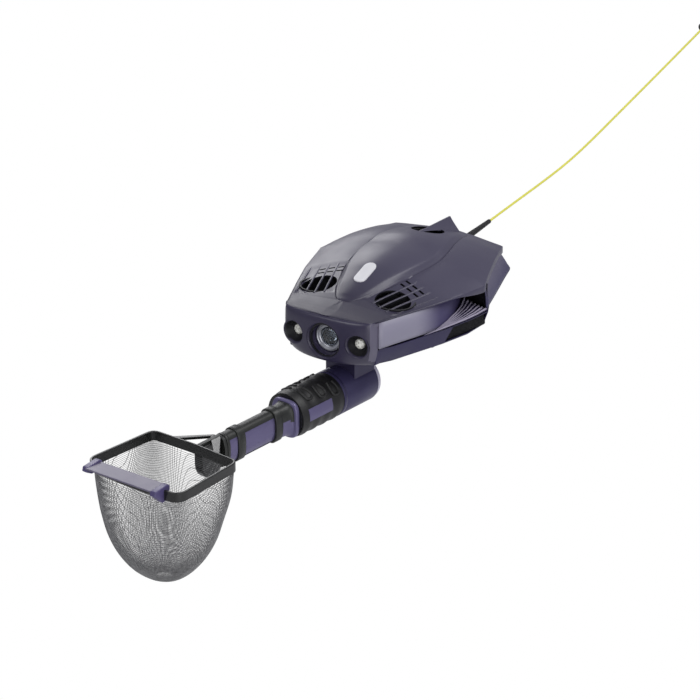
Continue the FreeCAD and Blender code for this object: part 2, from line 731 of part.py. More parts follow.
def inner_parts():
    place = FreeCAD.Placement(V(0, 0, n("vessel_height")), FreeCAD.Rotation())
    outer, wall, cap = S.vessel_radius, S.vessel_wall, S.vessel_cap
    inner = outer - wall
    start, end = S.vessel_front, S.vessel_rear
    lathe("pressure_housing", [(inner, start + cap), (outer, start + cap), (outer, end - cap),
                               (inner, end - cap)], place)
    lathe("pressure_cap_front", [(0, start), (outer, start), (outer, start + cap),
                                 (inner - 0.1, start + cap), (inner - 0.1, start + cap * 2),
                                 (0, start + cap * 2)], place)
    lathe("pressure_cap_rear", [(0, end), (outer, end), (outer, end - cap),
                                (inner - 0.1, end - cap), (inner - 0.1, end - cap * 2),
                                (0, end - cap * 2)], place)
    first = num(start + cap * 2) + 4
    inner_r = num(inner)
    half = n("pack_wide") / 2
    floor = n("vessel_height") - math.sqrt(inner_r ** 2 - half ** 2) + 0.1
    block("battery_pack", S.pack_wide, S.pack_long, S.pack_tall, V(-half, first, floor),
          listed=True)
    board = block("board_sheet", S.pack_wide - 2, S.pack_long - 6, S.board_thick,
                  V(1 - half, first + 3, floor + n("pack_tall") + n("board_gap")))
    posts = []
    for i, (x, y) in enumerate(((-8, 10), (8, 10), (-8, 60), (8, 60))):
        posts.append(cylinder("board_post_%s" % "abcd"[i], 1.2, S.board_gap + S.board_thick * 0.5,
                              V(x, first + y, floor + n("pack_tall"))))
    chip = block("board_chip", S.pack_wide * 0.45, S.pack_long * 0.2, S.board_thick * 1.4,
                 V(-5, first + 30, floor + n("pack_tall") + n("board_gap")
                   + n("board_thick") * 0.9))
    fuse("circuit_board", [board, chip] + posts)


# ---------------------------------------------------------------------- tether

def tether_points():
    """Route of the taut tether behind the strain relief."""
    start = n("gland_start") + n("gland_length") + n("relief_length")
    high = n("tether_height")
    steps = [(0, 2.1), (58, 4.7), (116, 6.9), (172, 10.3), (224, 17.4), (276, 26.6),
             (334, 36.9), (392, 47.3), (450, 57.9), (508, 68.6)]
    return [V(0, start + a, high + b) for a, b in steps]


def tether_route(points):
    """Straight runs joined by tangent arcs, each as large as its two runs allow."""
    edges = []
    start = points[0]
    for i in range(1, len(points) - 1):
        a, b, c = points[i - 1], points[i], points[i + 1]
        back = (a - b).normalize()
        on = (c - b).normalize()
        turn = math.pi - back.getAngle(on)
        run = min((a - b).Length, (c - b).Length)
        radius = 0.45 * run / math.tan(turn / 2)
        reach = 0.45 * run
        p, q = b + back * reach, b + on * reach
        bisector = (back + on).normalize()
        centre = b + bisector * math.hypot(radius, reach)
        middle = centre - bisector * radius
        edges.append(Part.LineSegment(start, p).toShape())
        edges.append(Part.Arc(p, middle, q).toShape())
        print("tether arc radius %.0f mm" % radius)
        start = q
    edges.append(Part.LineSegment(start, points[-1]).toShape())
    return Part.Wire(edges)


def tether():
    points = tether_points()
    path = tether_route(points)
    radius = n("tether_radius")
    ring = Part.Wire(Part.Circle(points[0], points[1] - points[0], radius).toShape())
    tube = path.makePipeShell([ring], True, False)
    print("tether length %.1f mm" % path.Length)
    print("tether volume %.1f, section times length %.1f"
          % (tube.Volume, math.pi * radius ** 2 * path.Length))
    feature("tether", tube)
    # the relief points along the tether's first run
    gland_end = n("gland_start") + n("gland_length")
    level = FreeCAD.Placement(V(0, 0, n("tether_height")), FreeCAD.Rotation())
    root = S.gland_radius
    lathe("tether_gland", [(0, S.gland_start), (root, S.gland_start),
                           (root, S.gland_start + S.gland_length * 0.7),
                           (root - 1.5, S.gland_start + S.gland_length),
                           (0, S.gland_start + S.gland_length)], level)
    relief_start = V(0, gland_end, n("tether_height"))
    low_ring = Part.Wire(Part.Circle(relief_start, V(0, 1, 0), n("relief_radius")).toShape())
    high_ring = Part.Wire(Part.Circle(points[0], points[1] - points[0],
                                      n("relief_tip_radius")).toShape())
    feature("strain_relief", Part.makeLoft([low_ring, high_ring], True))
    # plug at the surface end, along the last run
    end = points[-1]
    along = (points[-1] - points[-2]).normalize()
    turn = FreeCAD.Rotation(V(0, 1, 0), along)
    lathe("tether_plug", [(0, 0), (S.plug_radius - 2, 0), (S.plug_radius, 2.5),
                          (S.plug_radius, S.plug_length), (S.plug_pin_radius, S.plug_length),
                          (S.plug_pin_radius, S.plug_length + S.plug_pin_length),
                          (0, S.plug_length + S.plug_pin_length)],
          FreeCAD.Placement(end, turn))
    tip = end + along * (n("plug_length") + n("plug_pin_length") / 2)
    print("plug pin middle", tip, "axis", along)


# ------------------------------------------------------------------------- arm

def arm_place():
    turn = FreeCAD.Rotation(V(0, 0, 1), 180 - n("arm_turn"))
    offset = turn.multVec(V(0, -n("pivot_along"), 0))
    return FreeCAD.Placement(V(0, n("arm_pivot_y"), n("arm_height")) + offset, turn)


ARM = arm_place()


def swivel():
    """Fixed post under the hull and the arm's bracket that turns on it."""
    place = FreeCAD.Placement(V(0, n("arm_pivot_y"), n("hull_bottom")), UP)
    shoe, neck = -S.shoe_thick, -(S.shoe_thick + S.post_neck)
    head = neck - S.post_head_thick
    lathe("swivel_post", [(0, 2.0), (S.post_radius, 2.0), (S.post_radius, 0),
                          (S.shoe_radius, 0), (S.shoe_radius, shoe), (S.post_radius, shoe),
                          (S.post_radius, neck), (S.post_head, neck), (S.post_head, head),
                          (0, head)], place)
    gap = S.swivel_gap
    top = S.hull_bottom - S.shoe_thick - gap - S.arm_height
    base = doc.addObject("Part::Box", "bracket_block")
    base.setExpression("Length", form(S.bracket_wide))
    base.setExpression("Width", form(S.bracket_long))
    base.setExpression("Height", form(top))
    base.Placement = FreeCAD.Placement(V(-n("bracket_wide") / 2,
                                         n("pivot_along") - n("bracket_long") / 2, 0),
                                       FreeCAD.Rotation())
    spot = V(0, n("pivot_along"), 0)
    bore = cylinder("bracket_bore", S.post_radius + gap, top + 2, spot)
    ledge = top - (S.post_neck - gap * 2)
    seat = cylinder("bracket_seat", S.post_head + gap, ledge, spot)
    round_cut = cylinder("bracket_saddle", S.housing_radius, S.bracket_long * 3,
                         V(0, -n("bracket_long"), 0), FreeCAD.Rotation(V(1, 0, 0), -90))
    one = cut("bracket_bored", base, bore, listed=False)
    two = cut("bracket_seated", one, seat, listed=False)
    cut("arm_bracket", two, round_cut).Placement = ARM


def arm():
    cap, end = S.cap_thick, S.housing_end
    rad, wall = S.housing_radius, S.housing_wall
    inner = rad - wall
    bore = S.pole_radius + S.rail_thick + S.pole_gap
    lathe("arm_rear_cap", [(0, 0), (S.cap_radius - 2.5, 0), (S.cap_radius, 2.2),
                           (S.cap_radius, cap), (inner - S.sleeve_seat, cap),
                           (inner - S.sleeve_seat, cap + 3), (0, cap + 3)], ARM)
    lathe("arm_housing", [(inner, cap), (rad - 0.8, cap), (rad, cap + 0.8), (rad, end - 0.8),
                          (rad - 0.8, end), (bore, end), (bore, end - 3), (inner, end - 3)], ARM)
    lathe("arm_drive", [(0, cap + 3), (S.drive_radius, cap + 3),
                        (S.drive_radius, cap + 3 + S.drive_length),
                        (0, cap + 3 + S.drive_length)], ARM)
    last = S.grip_end
    lathe("grip_core", [(bore, end), (S.core_radius, end), (S.core_radius, last),
                        (bore, last)], ARM)
    ridge = S.sleeve_radius
    valley = S.sleeve_valley
    seat = S.core_radius + S.sleeve_seat
    profile = [(seat, end + 0.2), (valley - 0.6, end + 0.2)]
    bumps = 4
    for k in range(bumps):
        first = end + (last - end) * (k / float(bumps)) + 1.5
        span = (last - end) * (1.0 / bumps)
        profile += [(valley, first), (ridge, first + span * 0.25), (ridge, first + span * 0.65)]
    profile += [(valley, last - 0.6), (seat, last - 0.6)]
    lathe("grip_sleeve", profile, ARM)
    flange = S.flange_rim
    lathe("grip_flange", [(bore, last), (S.core_radius, last), (flange, last + 2.5),
                          (flange, last + 5), (flange - 3, last + 9),
                          (S.flange_neck + 0.3, last + 14), (S.flange_neck, S.flange_end),
                          (bore, S.flange_end)], ARM)
    clamp = S.clamp_radius
    lathe("clamp_ring_rear", [(bore, S.flange_end), (clamp - 0.5, S.flange_end),
                              (clamp, S.flange_end + 0.5), (clamp, S.clamp_rear_end - 0.5),
                              (clamp - 0.5, S.clamp_rear_end), (bore, S.clamp_rear_end)], ARM)


def rail(label, angle, middle):
    """Curved strip on the pole, angle wide, about a middle direction."""
    start, end = n("rail_start"), n("clamp_front_start")
    outer = doc.addObject("Part::Cylinder", label + "_outer")
    outer.setExpression("Radius", form(S.pole_radius + S.rail_thick))
    outer.setExpression("Height", form(S.clamp_front_start - S.rail_start))
    outer.setExpression("Angle", form(angle))
    inner = cylinder(label + "_inner", S.pole_radius, S.clamp_front_start - S.rail_start + 2,
                     V(0, 0, -1))
    strip_obj = cut(label, outer, inner)
    lay = FreeCAD.Rotation(V(1, 0, 0), -90)
    spin = FreeCAD.Rotation(V(0, 0, 1), -middle - num(angle) / 2)
    strip_obj.Placement = ARM.multiply(
        FreeCAD.Placement(V(0, start, 0), lay.multiply(spin)))


def pole():
    rad, wall = S.pole_radius, S.pole_wall
    inner = rad - wall
    start, end = S.pole_start, S.pole_end
    bush = rad + S.rail_thick
    lathe("arm_pole", [(inner, start), (bush, start), (bush, start + 8), (rad, start + 8),
                       (rad, end), (inner, end)], ARM)
    rail("pole_rail_top", S.rail_angle, 90)
    rail("pole_rail_bottom", S.rail_low_angle, 270)
    clamp = S.clamp_radius
    first = S.clamp_front_start
    seat = rad + S.sleeve_seat
    lathe("clamp_ring_front", [(seat, first), (clamp - 0.5, first), (clamp, first + 0.5),
                               (clamp, end - 0.5), (clamp - 0.5, end), (seat, end)], ARM)


# -------------------------------------------------------------------- net head

SIDEWAYS = FreeCAD.Placement(V(0, 0, 0), FreeCAD.Rotation(V(1, 1, 1), 120))


def frame_outline():
    half = n("frame_half")
    rear, front = n("frame_rear"), n("frame_front")
    side = [(half - 10.8, rear + 5.5), (half - 6.3, rear + 8), (half - 4.3, rear + 13),
            (half, front - 20), (half - 0.8, front - 14), (half - 4.8, front - 8),
            (half - 13.8, front - 2)]
    return [(0.0, rear)] + side + [(0.0, front)] + [(-x, y) for x, y in reversed(side)]


def net_head():
    start = S.pole_end + S.roll_gap
    spigot = S.pole_radius - S.pole_wall - S.roll_gap
    face = start + S.collar_thick
    lathe("yoke_collar", [(0, start - S.spigot_length), (spigot, start - S.spigot_length),
                          (spigot, start), (S.collar_radius - 0.6, start),
                          (S.collar_radius, start + 0.6), (S.collar_radius, face), (0, face)], ARM)
    top, low = S.web_top, S.web_low
    rear = S.frame_rear
    web = plate("web_sheet", [(face, top), (face, -S.collar_radius + 1), (face + 1.5, low),
                              (rear - 9, low), (rear - 2.6, low + 2.6), (rear, low + 9),
                              (rear, top)], S.web_thick * -0.5, S.web_thick,
                SIDEWAYS, listed=False)
    wide = 23.0
    lift = 2.5
    gusset = plate("gusset_sheet", [(-8, face), (8, face), (wide, rear + lift), (0, rear),
                                    (-wide, rear + lift)], top, S.gusset_thick,
                   FreeCAD.Placement(), listed=False)
    fuse("yoke_web", [web, gusset]).Placement = ARM
    outline = frame_outline()
    inside = inset(outline, n("frame_wall"))
    low_z, tall = n("frame_low"), n("frame_tall")
    shape = prism(outline, low_z, low_z + tall)
    if Part.Face(wire(outline, 0)).normalAt(0, 0).z < 0:
        shape = prism(outline[::-1], low_z, low_z + tall)
    hole = prism(inside, low_z - 1, low_z + tall + 1)
    feature("net_frame", shape.cut(hole), ARM)


def loop(cx, ct, hx, ht, power, z, corners=28):
    points = []
    for k in range(corners):
        a = 2 * math.pi * k / corners
        c, s = math.cos(a), math.sin(a)
        x = cx + hx * math.copysign(abs(c) ** (2 / power), c)
        y = ct + ht * math.copysign(abs(s) ** (2 / power), s)
        points.append((x, y))
    return wire(points, z)


def mesh_bag():
    """Closed-bottom bag of net, open at the frame."""
    top = n("frame_low") - 0.15
    depth = n("bag_depth")
    middle = (n("frame_rear") + n("frame_front")) / 2
    half = n("frame_half") - n("frame_wall") * 0.7
    reach = (n("frame_front") - n("frame_rear")) / 2 - n("frame_wall") * 0.5
    forms = [(0.0, 0.0, 0.0, 1.0, 1.0, 6.0), (0.19, 0.5, 0.0, 0.99, 0.985, 5.0),
             (0.407, 3.0, 0.0, 0.945, 0.94, 3.8), (0.597, 5.0, -1.0, 0.865, 0.875, 3.2),
             (0.753, 7.0, -2.5, 0.74, 0.765, 2.7), (0.874, 8.5, -4.0, 0.57, 0.605, 2.3),
             (0.952, 9.0, -5.5, 0.375, 0.405, 2.1), (1.0, 9.5, -6.5, 0.16, 0.18, 2.0)]
    outer, inner = [], []
    wall = n("bag_wall")
    for share, cx, ct, sx, sy, power in forms:
        z = top - depth * share
        outer.append(loop(cx, middle + ct, half * sx, reach * sy, power, z))
        lift = wall if share == 1.0 else (0.5 if share == 0.0 else 0.0)
        inner.append(loop(cx, middle + ct, half * sx - wall * 1.25, reach * sy - wall * 1.25,
                          power, z + lift + (wall * 0.6 if 0.8 < share < 1.0 else 0.0)))
    shape = loft(outer).cut(loft(inner))
    feature("mesh_bag", shape, ARM)


def scraper():
    """Flat blade on the front bar of the net frame, with a wedge at each end."""
    thick = S.scraper_thick
    top = S.frame_low + S.frame_tall
    front = S.frame_front
    plate_place = FreeCAD.Placement()
    blade = plate("blade_sheet", [(-33, front - 9.5), (41, front - 5.5), (42.3, front + 13.8),
                                  (-35.3, front + 10.3)], top, thick, plate_place, listed=False)
    low = S.ear_low
    left = plate("wedge_left", [(40.5, front - 1), (50, front - 1), (46.5, front + 15),
                                (41.5, front + 14)], low, top + thick - low, plate_place,
                 listed=False)
    right = plate("wedge_right", [(-42, front + 0.2), (-33.5, front + 0.2), (-34.5, front + 11),
                                  (-39, front + 11)], low, top + thick - low, plate_place,
                  listed=False)
    whole = fuse("scraper_whole", [blade, left, right], listed=False)
    outline = frame_outline()
    space = prism(outline[::-1], n("frame_low") - 5, n("frame_low") + n("frame_tall"))
    tool = feature("frame_space", space, listed=False)
    cut("scraper_blade", whole, tool).Placement = ARM


# -------------------------------------------------------------------- assembly

upper_shell()
tail_fin()
badge_plate()
lower_hull()
shelf_plate()
side_walls()
intake_ribs()
rear_shrouds()
stern_panel()
nose_face()
camera()
lamps()
thrusters()
vent_grilles()
inner_parts()
tether()
swivel()
arm()
pole()
net_head()
mesh_bag()
scraper()

doc.recompute()

faults = []
for obj in doc.Objects:
    if "Invalid" in obj.State or "Error" in obj.State:
        faults.append("%s: %s" % (obj.Label, obj.State))
for obj in NODES:
    shape = obj.Shape
    if shape.isNull() or not shape.isValid() or shape.Volume < 1.0:
        faults.append("%s: shape" % obj.Label)
    elif len(shape.Solids) != 1:
        faults.append("%s: %d solids" % (obj.Label, len(shape.Solids)))
if faults:
    raise SystemExit("failed: " + "; ".join(faults))

os.makedirs("parts", exist_ok=True)
for obj in NODES:
    obj.Shape.exportStep("parts/%s.step" % obj.Label)
print("wrote %d sub-parts" % len(NODES))
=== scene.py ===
import math
import bpy
import bmesh
from mathutils import Matrix, Vector


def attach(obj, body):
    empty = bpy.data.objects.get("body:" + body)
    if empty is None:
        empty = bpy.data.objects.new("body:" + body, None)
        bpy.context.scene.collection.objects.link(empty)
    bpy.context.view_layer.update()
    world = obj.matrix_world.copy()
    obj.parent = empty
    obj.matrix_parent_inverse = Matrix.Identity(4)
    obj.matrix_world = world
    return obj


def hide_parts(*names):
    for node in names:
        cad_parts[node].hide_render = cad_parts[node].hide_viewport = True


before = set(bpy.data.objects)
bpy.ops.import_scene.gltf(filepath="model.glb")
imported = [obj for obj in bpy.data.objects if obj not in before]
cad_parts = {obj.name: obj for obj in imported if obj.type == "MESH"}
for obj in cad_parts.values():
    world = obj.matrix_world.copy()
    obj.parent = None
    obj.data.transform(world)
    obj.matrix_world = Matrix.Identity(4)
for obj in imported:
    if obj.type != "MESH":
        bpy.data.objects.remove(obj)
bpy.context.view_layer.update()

MM = 0.001


# ----------------------------------------------------------------- shader maths

class Signal:
    """A number, colour or shader on its way through a node tree."""

    def __init__(self, tree, socket):
        self.tree = tree
        self.socket = socket

    def maths(self, operation, first, second):
        return self.tree.node("ShaderNodeMath", {"operation": operation}, {0: first, 1: second})

    def __add__(self, other):
        return self.maths("ADD", self, other)

    def __radd__(self, other):
        return self.maths("ADD", other, self)

    def __sub__(self, other):
        return self.maths("SUBTRACT", self, other)

    def __rsub__(self, other):
        return self.maths("SUBTRACT", other, self)

    def __mul__(self, other):
        return self.maths("MULTIPLY", self, other)

    def __rmul__(self, other):
        return self.maths("MULTIPLY", other, self)

    def clamped(self):
        return self.tree.node("ShaderNodeClamp", {}, {0: self})


class Tree:
    """A node tree and the one way that nodes are added to it."""

    def __init__(self, tree):
        self.nodes = tree.nodes
        self.links = tree.links

    def node(self, kind, settings=None, inputs=None, output=0):
        made = self.nodes.new(kind)
        for key, value in (settings or {}).items():
            setattr(made, key, value)
        for key, value in (inputs or {}).items():
            self.feed(made.inputs[key], value)
        return Signal(self, made.outputs[output])

    def feed(self, socket, value):
        if isinstance(value, Signal):
            self.links.new(value.socket, socket)
        elif isinstance(value, tuple) and len(value) == 3 and socket.type == "RGBA":
            socket.default_value = (*value, 1.0)
        else:
            socket.default_value = value


class Finish(Tree):
    """A material built from one principled shader and the nodes that feed it."""

    def __init__(self, name):
        self.material = bpy.data.materials.new(name)
        self.material.use_nodes = True
        super().__init__(self.material.node_tree)
        self.shader = self.nodes["Principled BSDF"]

    def set(self, **values):
        for key, value in values.items():
            self.feed(self.shader.inputs[key.replace("_", " ")], value)

    def place(self):
        return self.node("ShaderNodeTexCoord", output="Object")

    def noise(self, scale, detail=3.0, at=None):
        return self.node("ShaderNodeTexNoise", {}, {"Vector": at or self.place(), "Scale": scale,
                                                    "Detail": detail, "Roughness": 0.5})

    def mix(self, share, low, high):
        return self.node("ShaderNodeMix", {"data_type": "RGBA"},
                         {"Factor": share, 6: low, 7: high}, output=2)

    def bump(self, height, strength, distance):
        return self.node("ShaderNodeBump", {}, {"Height": height, "Strength": strength,
                                                "Distance": distance})


GRAIN = 1800.0  # scale of spark-eroded grain, per metre
MOTTLE = 60.0   # scale of the slow change of tone


def moulded(name, dark, light, rough, coat):
    """Moulded plastic: slow change of tone, fine spark-eroded grain."""
    f = Finish(name)
    tone = f.noise(MOTTLE, 2.0)
    speck = f.noise(GRAIN, 1.0)
    f.set(Base_Color=f.mix(tone * 0.7 + speck * 0.3, dark, light),
          Roughness=tone * 0.14 + (rough - 0.07), Normal=f.bump(speck, 0.12, 0.0002),
          Coat_Weight=coat, Coat_Roughness=0.25)
    return f.material


def shaded(name, near, far, low, high, axis, rough=0.42):
    """Moulded plastic whose colour turns from near to far between low and high on an axis; on the
    deck and the channel walls this turn is painted light and shade.
    """
    f = Finish(name)
    at = f.node("ShaderNodeSeparateXYZ", {}, {0: f.place()}, output=axis)
    share = f.node("ShaderNodeMapRange", {"interpolation_type": "SMOOTHSTEP"},
                   {"Value": at, "From Min": low, "From Max": high})
    speck = f.noise(GRAIN, 1.0)
    tone = f.noise(MOTTLE, 2.0)
    f.set(Base_Color=f.mix((share + (tone * 0.12 - 0.06)).clamped(), near, far),
          Roughness=tone * 0.14 + (rough - 0.07), Normal=f.bump(speck, 0.12, 0.0002),
          Coat_Weight=0.06, Coat_Roughness=0.4)
    return f.material


def anodised(name, dark, light):
    """Dyed anodised aluminium with faint drawing lines round the tube."""
    f = Finish(name)
    tone = f.noise(45.0, 2.0)
    stretched = f.node("ShaderNodeMapping", {}, {"Vector": f.place(),
                                                 "Scale": (900.0, 5000.0, 900.0)})
    lines = f.noise(1.0, 2.0, at=stretched)
    f.set(Base_Color=f.mix(tone, dark, light), Metallic=0.35, Roughness=lines * 0.12 + 0.32,
          Normal=f.bump(lines, 0.06, 0.0001), Coat_Weight=0.15, Coat_Roughness=0.2)
    return f.material


def rubbery(name, dark, light):
    """Matt rubber with a fine grain."""
    f = Finish(name)
    tone = f.noise(90.0)
    grain = f.noise(2600.0, 2.0)
    f.set(Base_Color=f.mix(tone, dark, light), Roughness=grain * 0.12 + 0.42,
          Normal=f.bump(grain, 0.25, 0.0003))
    return f.material


def metal(name, dark, light, rough):
    """Bare metal with a little wear."""
    f = Finish(name)
    tone = f.noise(300.0)
    f.set(Base_Color=f.mix(tone, dark, light), Metallic=1.0, Roughness=tone * 0.1 + rough,
          Normal=f.bump(tone, 0.05, 0.0001))
    return f.material


def clear(name, tint):
    """Clear window or lens with faint smears."""
    f = Finish(name)
    smear = f.noise(120.0, 2.0)
    f.set(Base_Color=tint, Roughness=smear * 0.06 + 0.03, Transmission_Weight=1.0, IOR=1.46)
    return f.material


def lamp_cells(name, dark, light):
    """Cells of an unlit lamp under its moulded lens."""
    f = Finish(name)
    cells = f.node("ShaderNodeTexVoronoi", {}, {"Vector": f.place(), "Scale": 420.0})
    f.set(Base_Color=f.mix(cells * 1.6, dark, light), Roughness=cells * 0.3 + 0.12,
          Normal=f.bump(cells, 0.5, 0.0006), Coat_Weight=0.8, Coat_Roughness=0.05)
    return f.material


def braided(name, dark, light):
    """Braided jacket of the tether."""
    f = Finish(name)
    braid = f.noise(900.0, 2.0)
    f.set(Base_Color=f.mix(braid, dark, light), Roughness=braid * 0.2 + 0.35,
          Normal=f.bump(braid, 0.3, 0.0002))
    return f.material


# deck plastic, its front darker than its rear: painted shade
SHELL_PAINTED_SHADE = shaded("deck_plastic_painted_shade", (0.019, 0.016, 0.036), (0.060, 0.055, 0.092), -0.130, 0.0, "Y",
               0.38)
# channel wall plastic, pale at the front and dark behind: painted light in front, painted shade
# behind
SIDE_PAINTED_LIGHT_AND_SHADE = shaded("side_plastic_painted_light_and_shade", (0.235, 0.225, 0.295), (0.058, 0.049, 0.122), -0.070, -0.030, "Y")
RIB = moulded("rib_plastic", (0.300, 0.270, 0.360), (0.380, 0.350, 0.440), 0.4, 0.1)
CORNER = moulded("corner_plastic", (0.090, 0.082, 0.128), (0.115, 0.106, 0.155), 0.4, 0.1)
# rear wall plastic, darker and bluer towards the bottom
FLANK = shaded("flank_plastic", (0.028, 0.024, 0.085), (0.088, 0.080, 0.135), -0.030, 0.004, "Z")
INDIGO = moulded("keel_plastic", (0.015, 0.011, 0.052), (0.022, 0.017, 0.068), 0.42, 0.1)
FACE = moulded("nose_plastic", (0.023, 0.019, 0.046), (0.032, 0.027, 0.060), 0.34, 0.2)
BLACK = moulded("black_plastic", (0.004, 0.0045, 0.004), (0.009, 0.010, 0.009), 0.28, 0.2)
RAIL = moulded("rail_plastic", (0.010, 0.011, 0.010), (0.020, 0.022, 0.019), 0.42, 0.0)
# near-black, darker than the black plastic, for ducts, hollows and the sheets behind openings:
# painted shade
INSIDE_PAINTED_SHADE = moulded("duct_plastic_painted_shade", (0.002, 0.002, 0.004), (0.005, 0.005, 0.008), 0.5, 0.0)
RUBBER = rubbery("grip_rubber", (0.005, 0.005, 0.005), (0.011, 0.011, 0.011))
VIOLET = anodised("violet_tube", (0.105, 0.092, 0.190), (0.140, 0.124, 0.240))
HOUSING = anodised("violet_housing", (0.032, 0.027, 0.082), (0.048, 0.042, 0.108))
DEEP = anodised("deep_violet", (0.022, 0.018, 0.055), (0.034, 0.028, 0.075))
LILAC = moulded("lilac_cap", (0.50, 0.48, 0.60), (0.60, 0.58, 0.69), 0.35, 0.2)
PALE = moulded("pale_plate", (0.66, 0.66, 0.68), (0.80, 0.80, 0.82), 0.25, 0.3)
BLADE = moulded("blade_plastic", (0.120, 0.108, 0.165), (0.155, 0.142, 0.205), 0.40, 0.1)
WEDGE = moulded("wedge_plastic", (0.060, 0.048, 0.135), (0.085, 0.070, 0.175), 0.36, 0.15)
GLASS = clear("window_glass", (0.85, 0.90, 0.95))
RING = metal("ring_metal", (0.42, 0.43, 0.46), (0.55, 0.56, 0.60), 0.36)
STEEL = metal("stainless", (0.50, 0.50, 0.52), (0.65, 0.65, 0.66), 0.25)
VESSEL = metal("vessel_metal", (0.30, 0.31, 0.33), (0.42, 0.43, 0.45), 0.35)
LAMP = lamp_cells("lamp_cells", (0.25, 0.25, 0.22), (0.95, 0.95, 0.86))
WRAP = moulded("cell_wrap", (0.02, 0.05, 0.16), (0.04, 0.08, 0.22), 0.3, 0.2)
BOARD = moulded("board_lacquer", (0.01, 0.07, 0.03), (0.02, 0.12, 0.05), 0.3, 0.4)
TETHER = braided("tether_jacket", (0.62, 0.60, 0.05), (0.88, 0.84, 0.16))
NET = metal("net_wire", (0.12, 0.12, 0.12), (0.50, 0.50, 0.50), 0.45)

# finishes of the CAD nodes that keep their own mesh
# the camera housing and the thrusters take the near-black finish: painted shade inside the hull
# and its ducts
KEPT = {"pressure_housing": VESSEL, "pressure_cap_front": VESSEL, "pressure_cap_rear": VESSEL,
        "battery_pack": WRAP, "circuit_board": BOARD, "camera_housing": INSIDE_PAINTED_SHADE,
        "tether_gland": BLACK, "tether_plug": BLACK, "swivel_post": STEEL,
        "arm_bracket": DEEP, "arm_drive": BLACK, "grip_core": BLACK}
for spot in ("front_left", "front_right", "rear", "side_left", "side_right"):
    KEPT["thruster_" + spot] = INSIDE_PAINTED_SHADE
    KEPT["propeller_" + spot] = BLACK


def refinish():
    """Puts each kept node's finish in all its slots."""
    for node, finish in KEPT.items():
        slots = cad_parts[node].data.materials
        for index in range(len(slots)):
            slots[index] = finish
        if not slots:
            slots.append(finish)


# ------------------------------------------------------------------- modelling

def placed(name, data):
    """An object of its own for a mesh, a curve, the camera or a lamp."""
    obj = bpy.data.objects.new(name, data)
    bpy.context.scene.collection.objects.link(obj)
    return obj


def piece(name, bm, finish, body, replaced=(), place=None, smooth=40.0, bevel=0.0):
    """A finished piece from a bmesh in millimetres."""
    bmesh.ops.remove_doubles(bm, verts=bm.verts, dist=0.0005)
    bmesh.ops.recalc_face_normals(bm, faces=bm.faces)
    if place is not None:
        bmesh.ops.transform(bm, matrix=place, verts=bm.verts)
    bmesh.ops.scale(bm, vec=(MM, MM, MM), verts=bm.verts)
    return dressed(name, bm, finish, body, replaced, smooth, bevel)


def dressed(name, bm, finish, body, replaced=(), smooth=40.0, bevel=0.0):
    """A finished piece from a bmesh in metres whose faces already point outwards."""
    mesh = bpy.data.meshes.new(name)
    bm.to_mesh(mesh)
    bm.free()
    obj = placed(name, mesh)
    for item in (finish if isinstance(finish, list) else [finish]):
        mesh.materials.append(item)
    for polygon in mesh.polygons:
        polygon.use_smooth = True
    mesh.set_sharp_from_angle(angle=math.radians(smooth))
    if bevel:
        rounded(obj, bevel, 2, 35).harden_normals = True
    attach(obj, body)
    if replaced:
        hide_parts(*replaced)
    return obj


def rounded(obj, width, segments, angle):
    """Rounds the edges sharper than an angle in degrees."""
    edge = obj.modifiers.new("edge", "BEVEL")
    edge.width = width * MM
    edge.segments = segments
    edge.limit_method = "ANGLE"
    edge.angle_limit = math.radians(angle)
    return edge


def fixed(obj):
    """Bakes an object's modifiers into its mesh."""
    graph = bpy.context.evaluated_depsgraph_get()
    mesh = bpy.data.meshes.new_from_object(obj.evaluated_get(graph))
    old = obj.data
    obj.modifiers.clear()
    obj.data = mesh
    bpy.data.meshes.remove(old)


def walled(obj, thickness, offset=-1.0):
    """Gives a skin its wall."""
    wall = obj.modifiers.new("wall", "SOLIDIFY")
    wall.thickness = thickness * MM
    wall.offset = offset
    fixed(obj)


def new_verts(made):
    return [item for item in made["geom"] if isinstance(item, bmesh.types.BMVert)]


def new_edges(made):
    return [item for item in made["geom"] if isinstance(item, bmesh.types.BMEdge)]


def border(bm):
    return [edge for edge in bm.edges if edge.is_boundary]


def grid(columns, rows, place):
    """Sheet whose points place(u, v) gives, u and v running from 0 to 1."""
    bm = bmesh.new()
    bmesh.ops.create_grid(bm, x_segments=columns, y_segments=rows, size=1.0)
    for vert in bm.verts:
        vert.co = place((vert.co.x + 1) / 2, (vert.co.y + 1) / 2)
    return bm


def lofted(rows):
    """Sheet through rows of points, all rows of one length."""
    bm = bmesh.new()
    width = len(rows[0])
    bmesh.ops.create_grid(bm, x_segments=width - 1, y_segments=len(rows) - 1, size=1.0)
    ordered = sorted(bm.verts, key=lambda v: (round(v.co.y, 6), round(v.co.x, 6)))
    for index, vert in enumerate(ordered):
        vert.co = rows[index // width][index % width]
    return bm


def closed_sheet(bm, under):
    """A sheet with its border carried to where under puts it, and closed there."""
    made = bmesh.ops.extrude_edge_only(bm, edges=border(bm))
    for vert in new_verts(made):
        vert.co = under(vert.co)
    bmesh.ops.holes_fill(bm, edges=border(bm))
    return bm


def lowered(depth):
    """Moves a point straight down, for closed_sheet."""
    return lambda spot: spot - Vector((0, 0, depth))


def block(place, cuts=0):
    """Box whose points place(u, v, w) gives, each running from 0 to 1."""
    bm = bmesh.new()
    bmesh.ops.create_cube(bm, size=1.0)
    if cuts:
        bmesh.ops.subdivide_edges(bm, edges=bm.edges, cuts=cuts, use_grid_fill=True)
    for vert in bm.verts:
        vert.co = place(*(value + 0.5 for value in vert.co))
    return bm


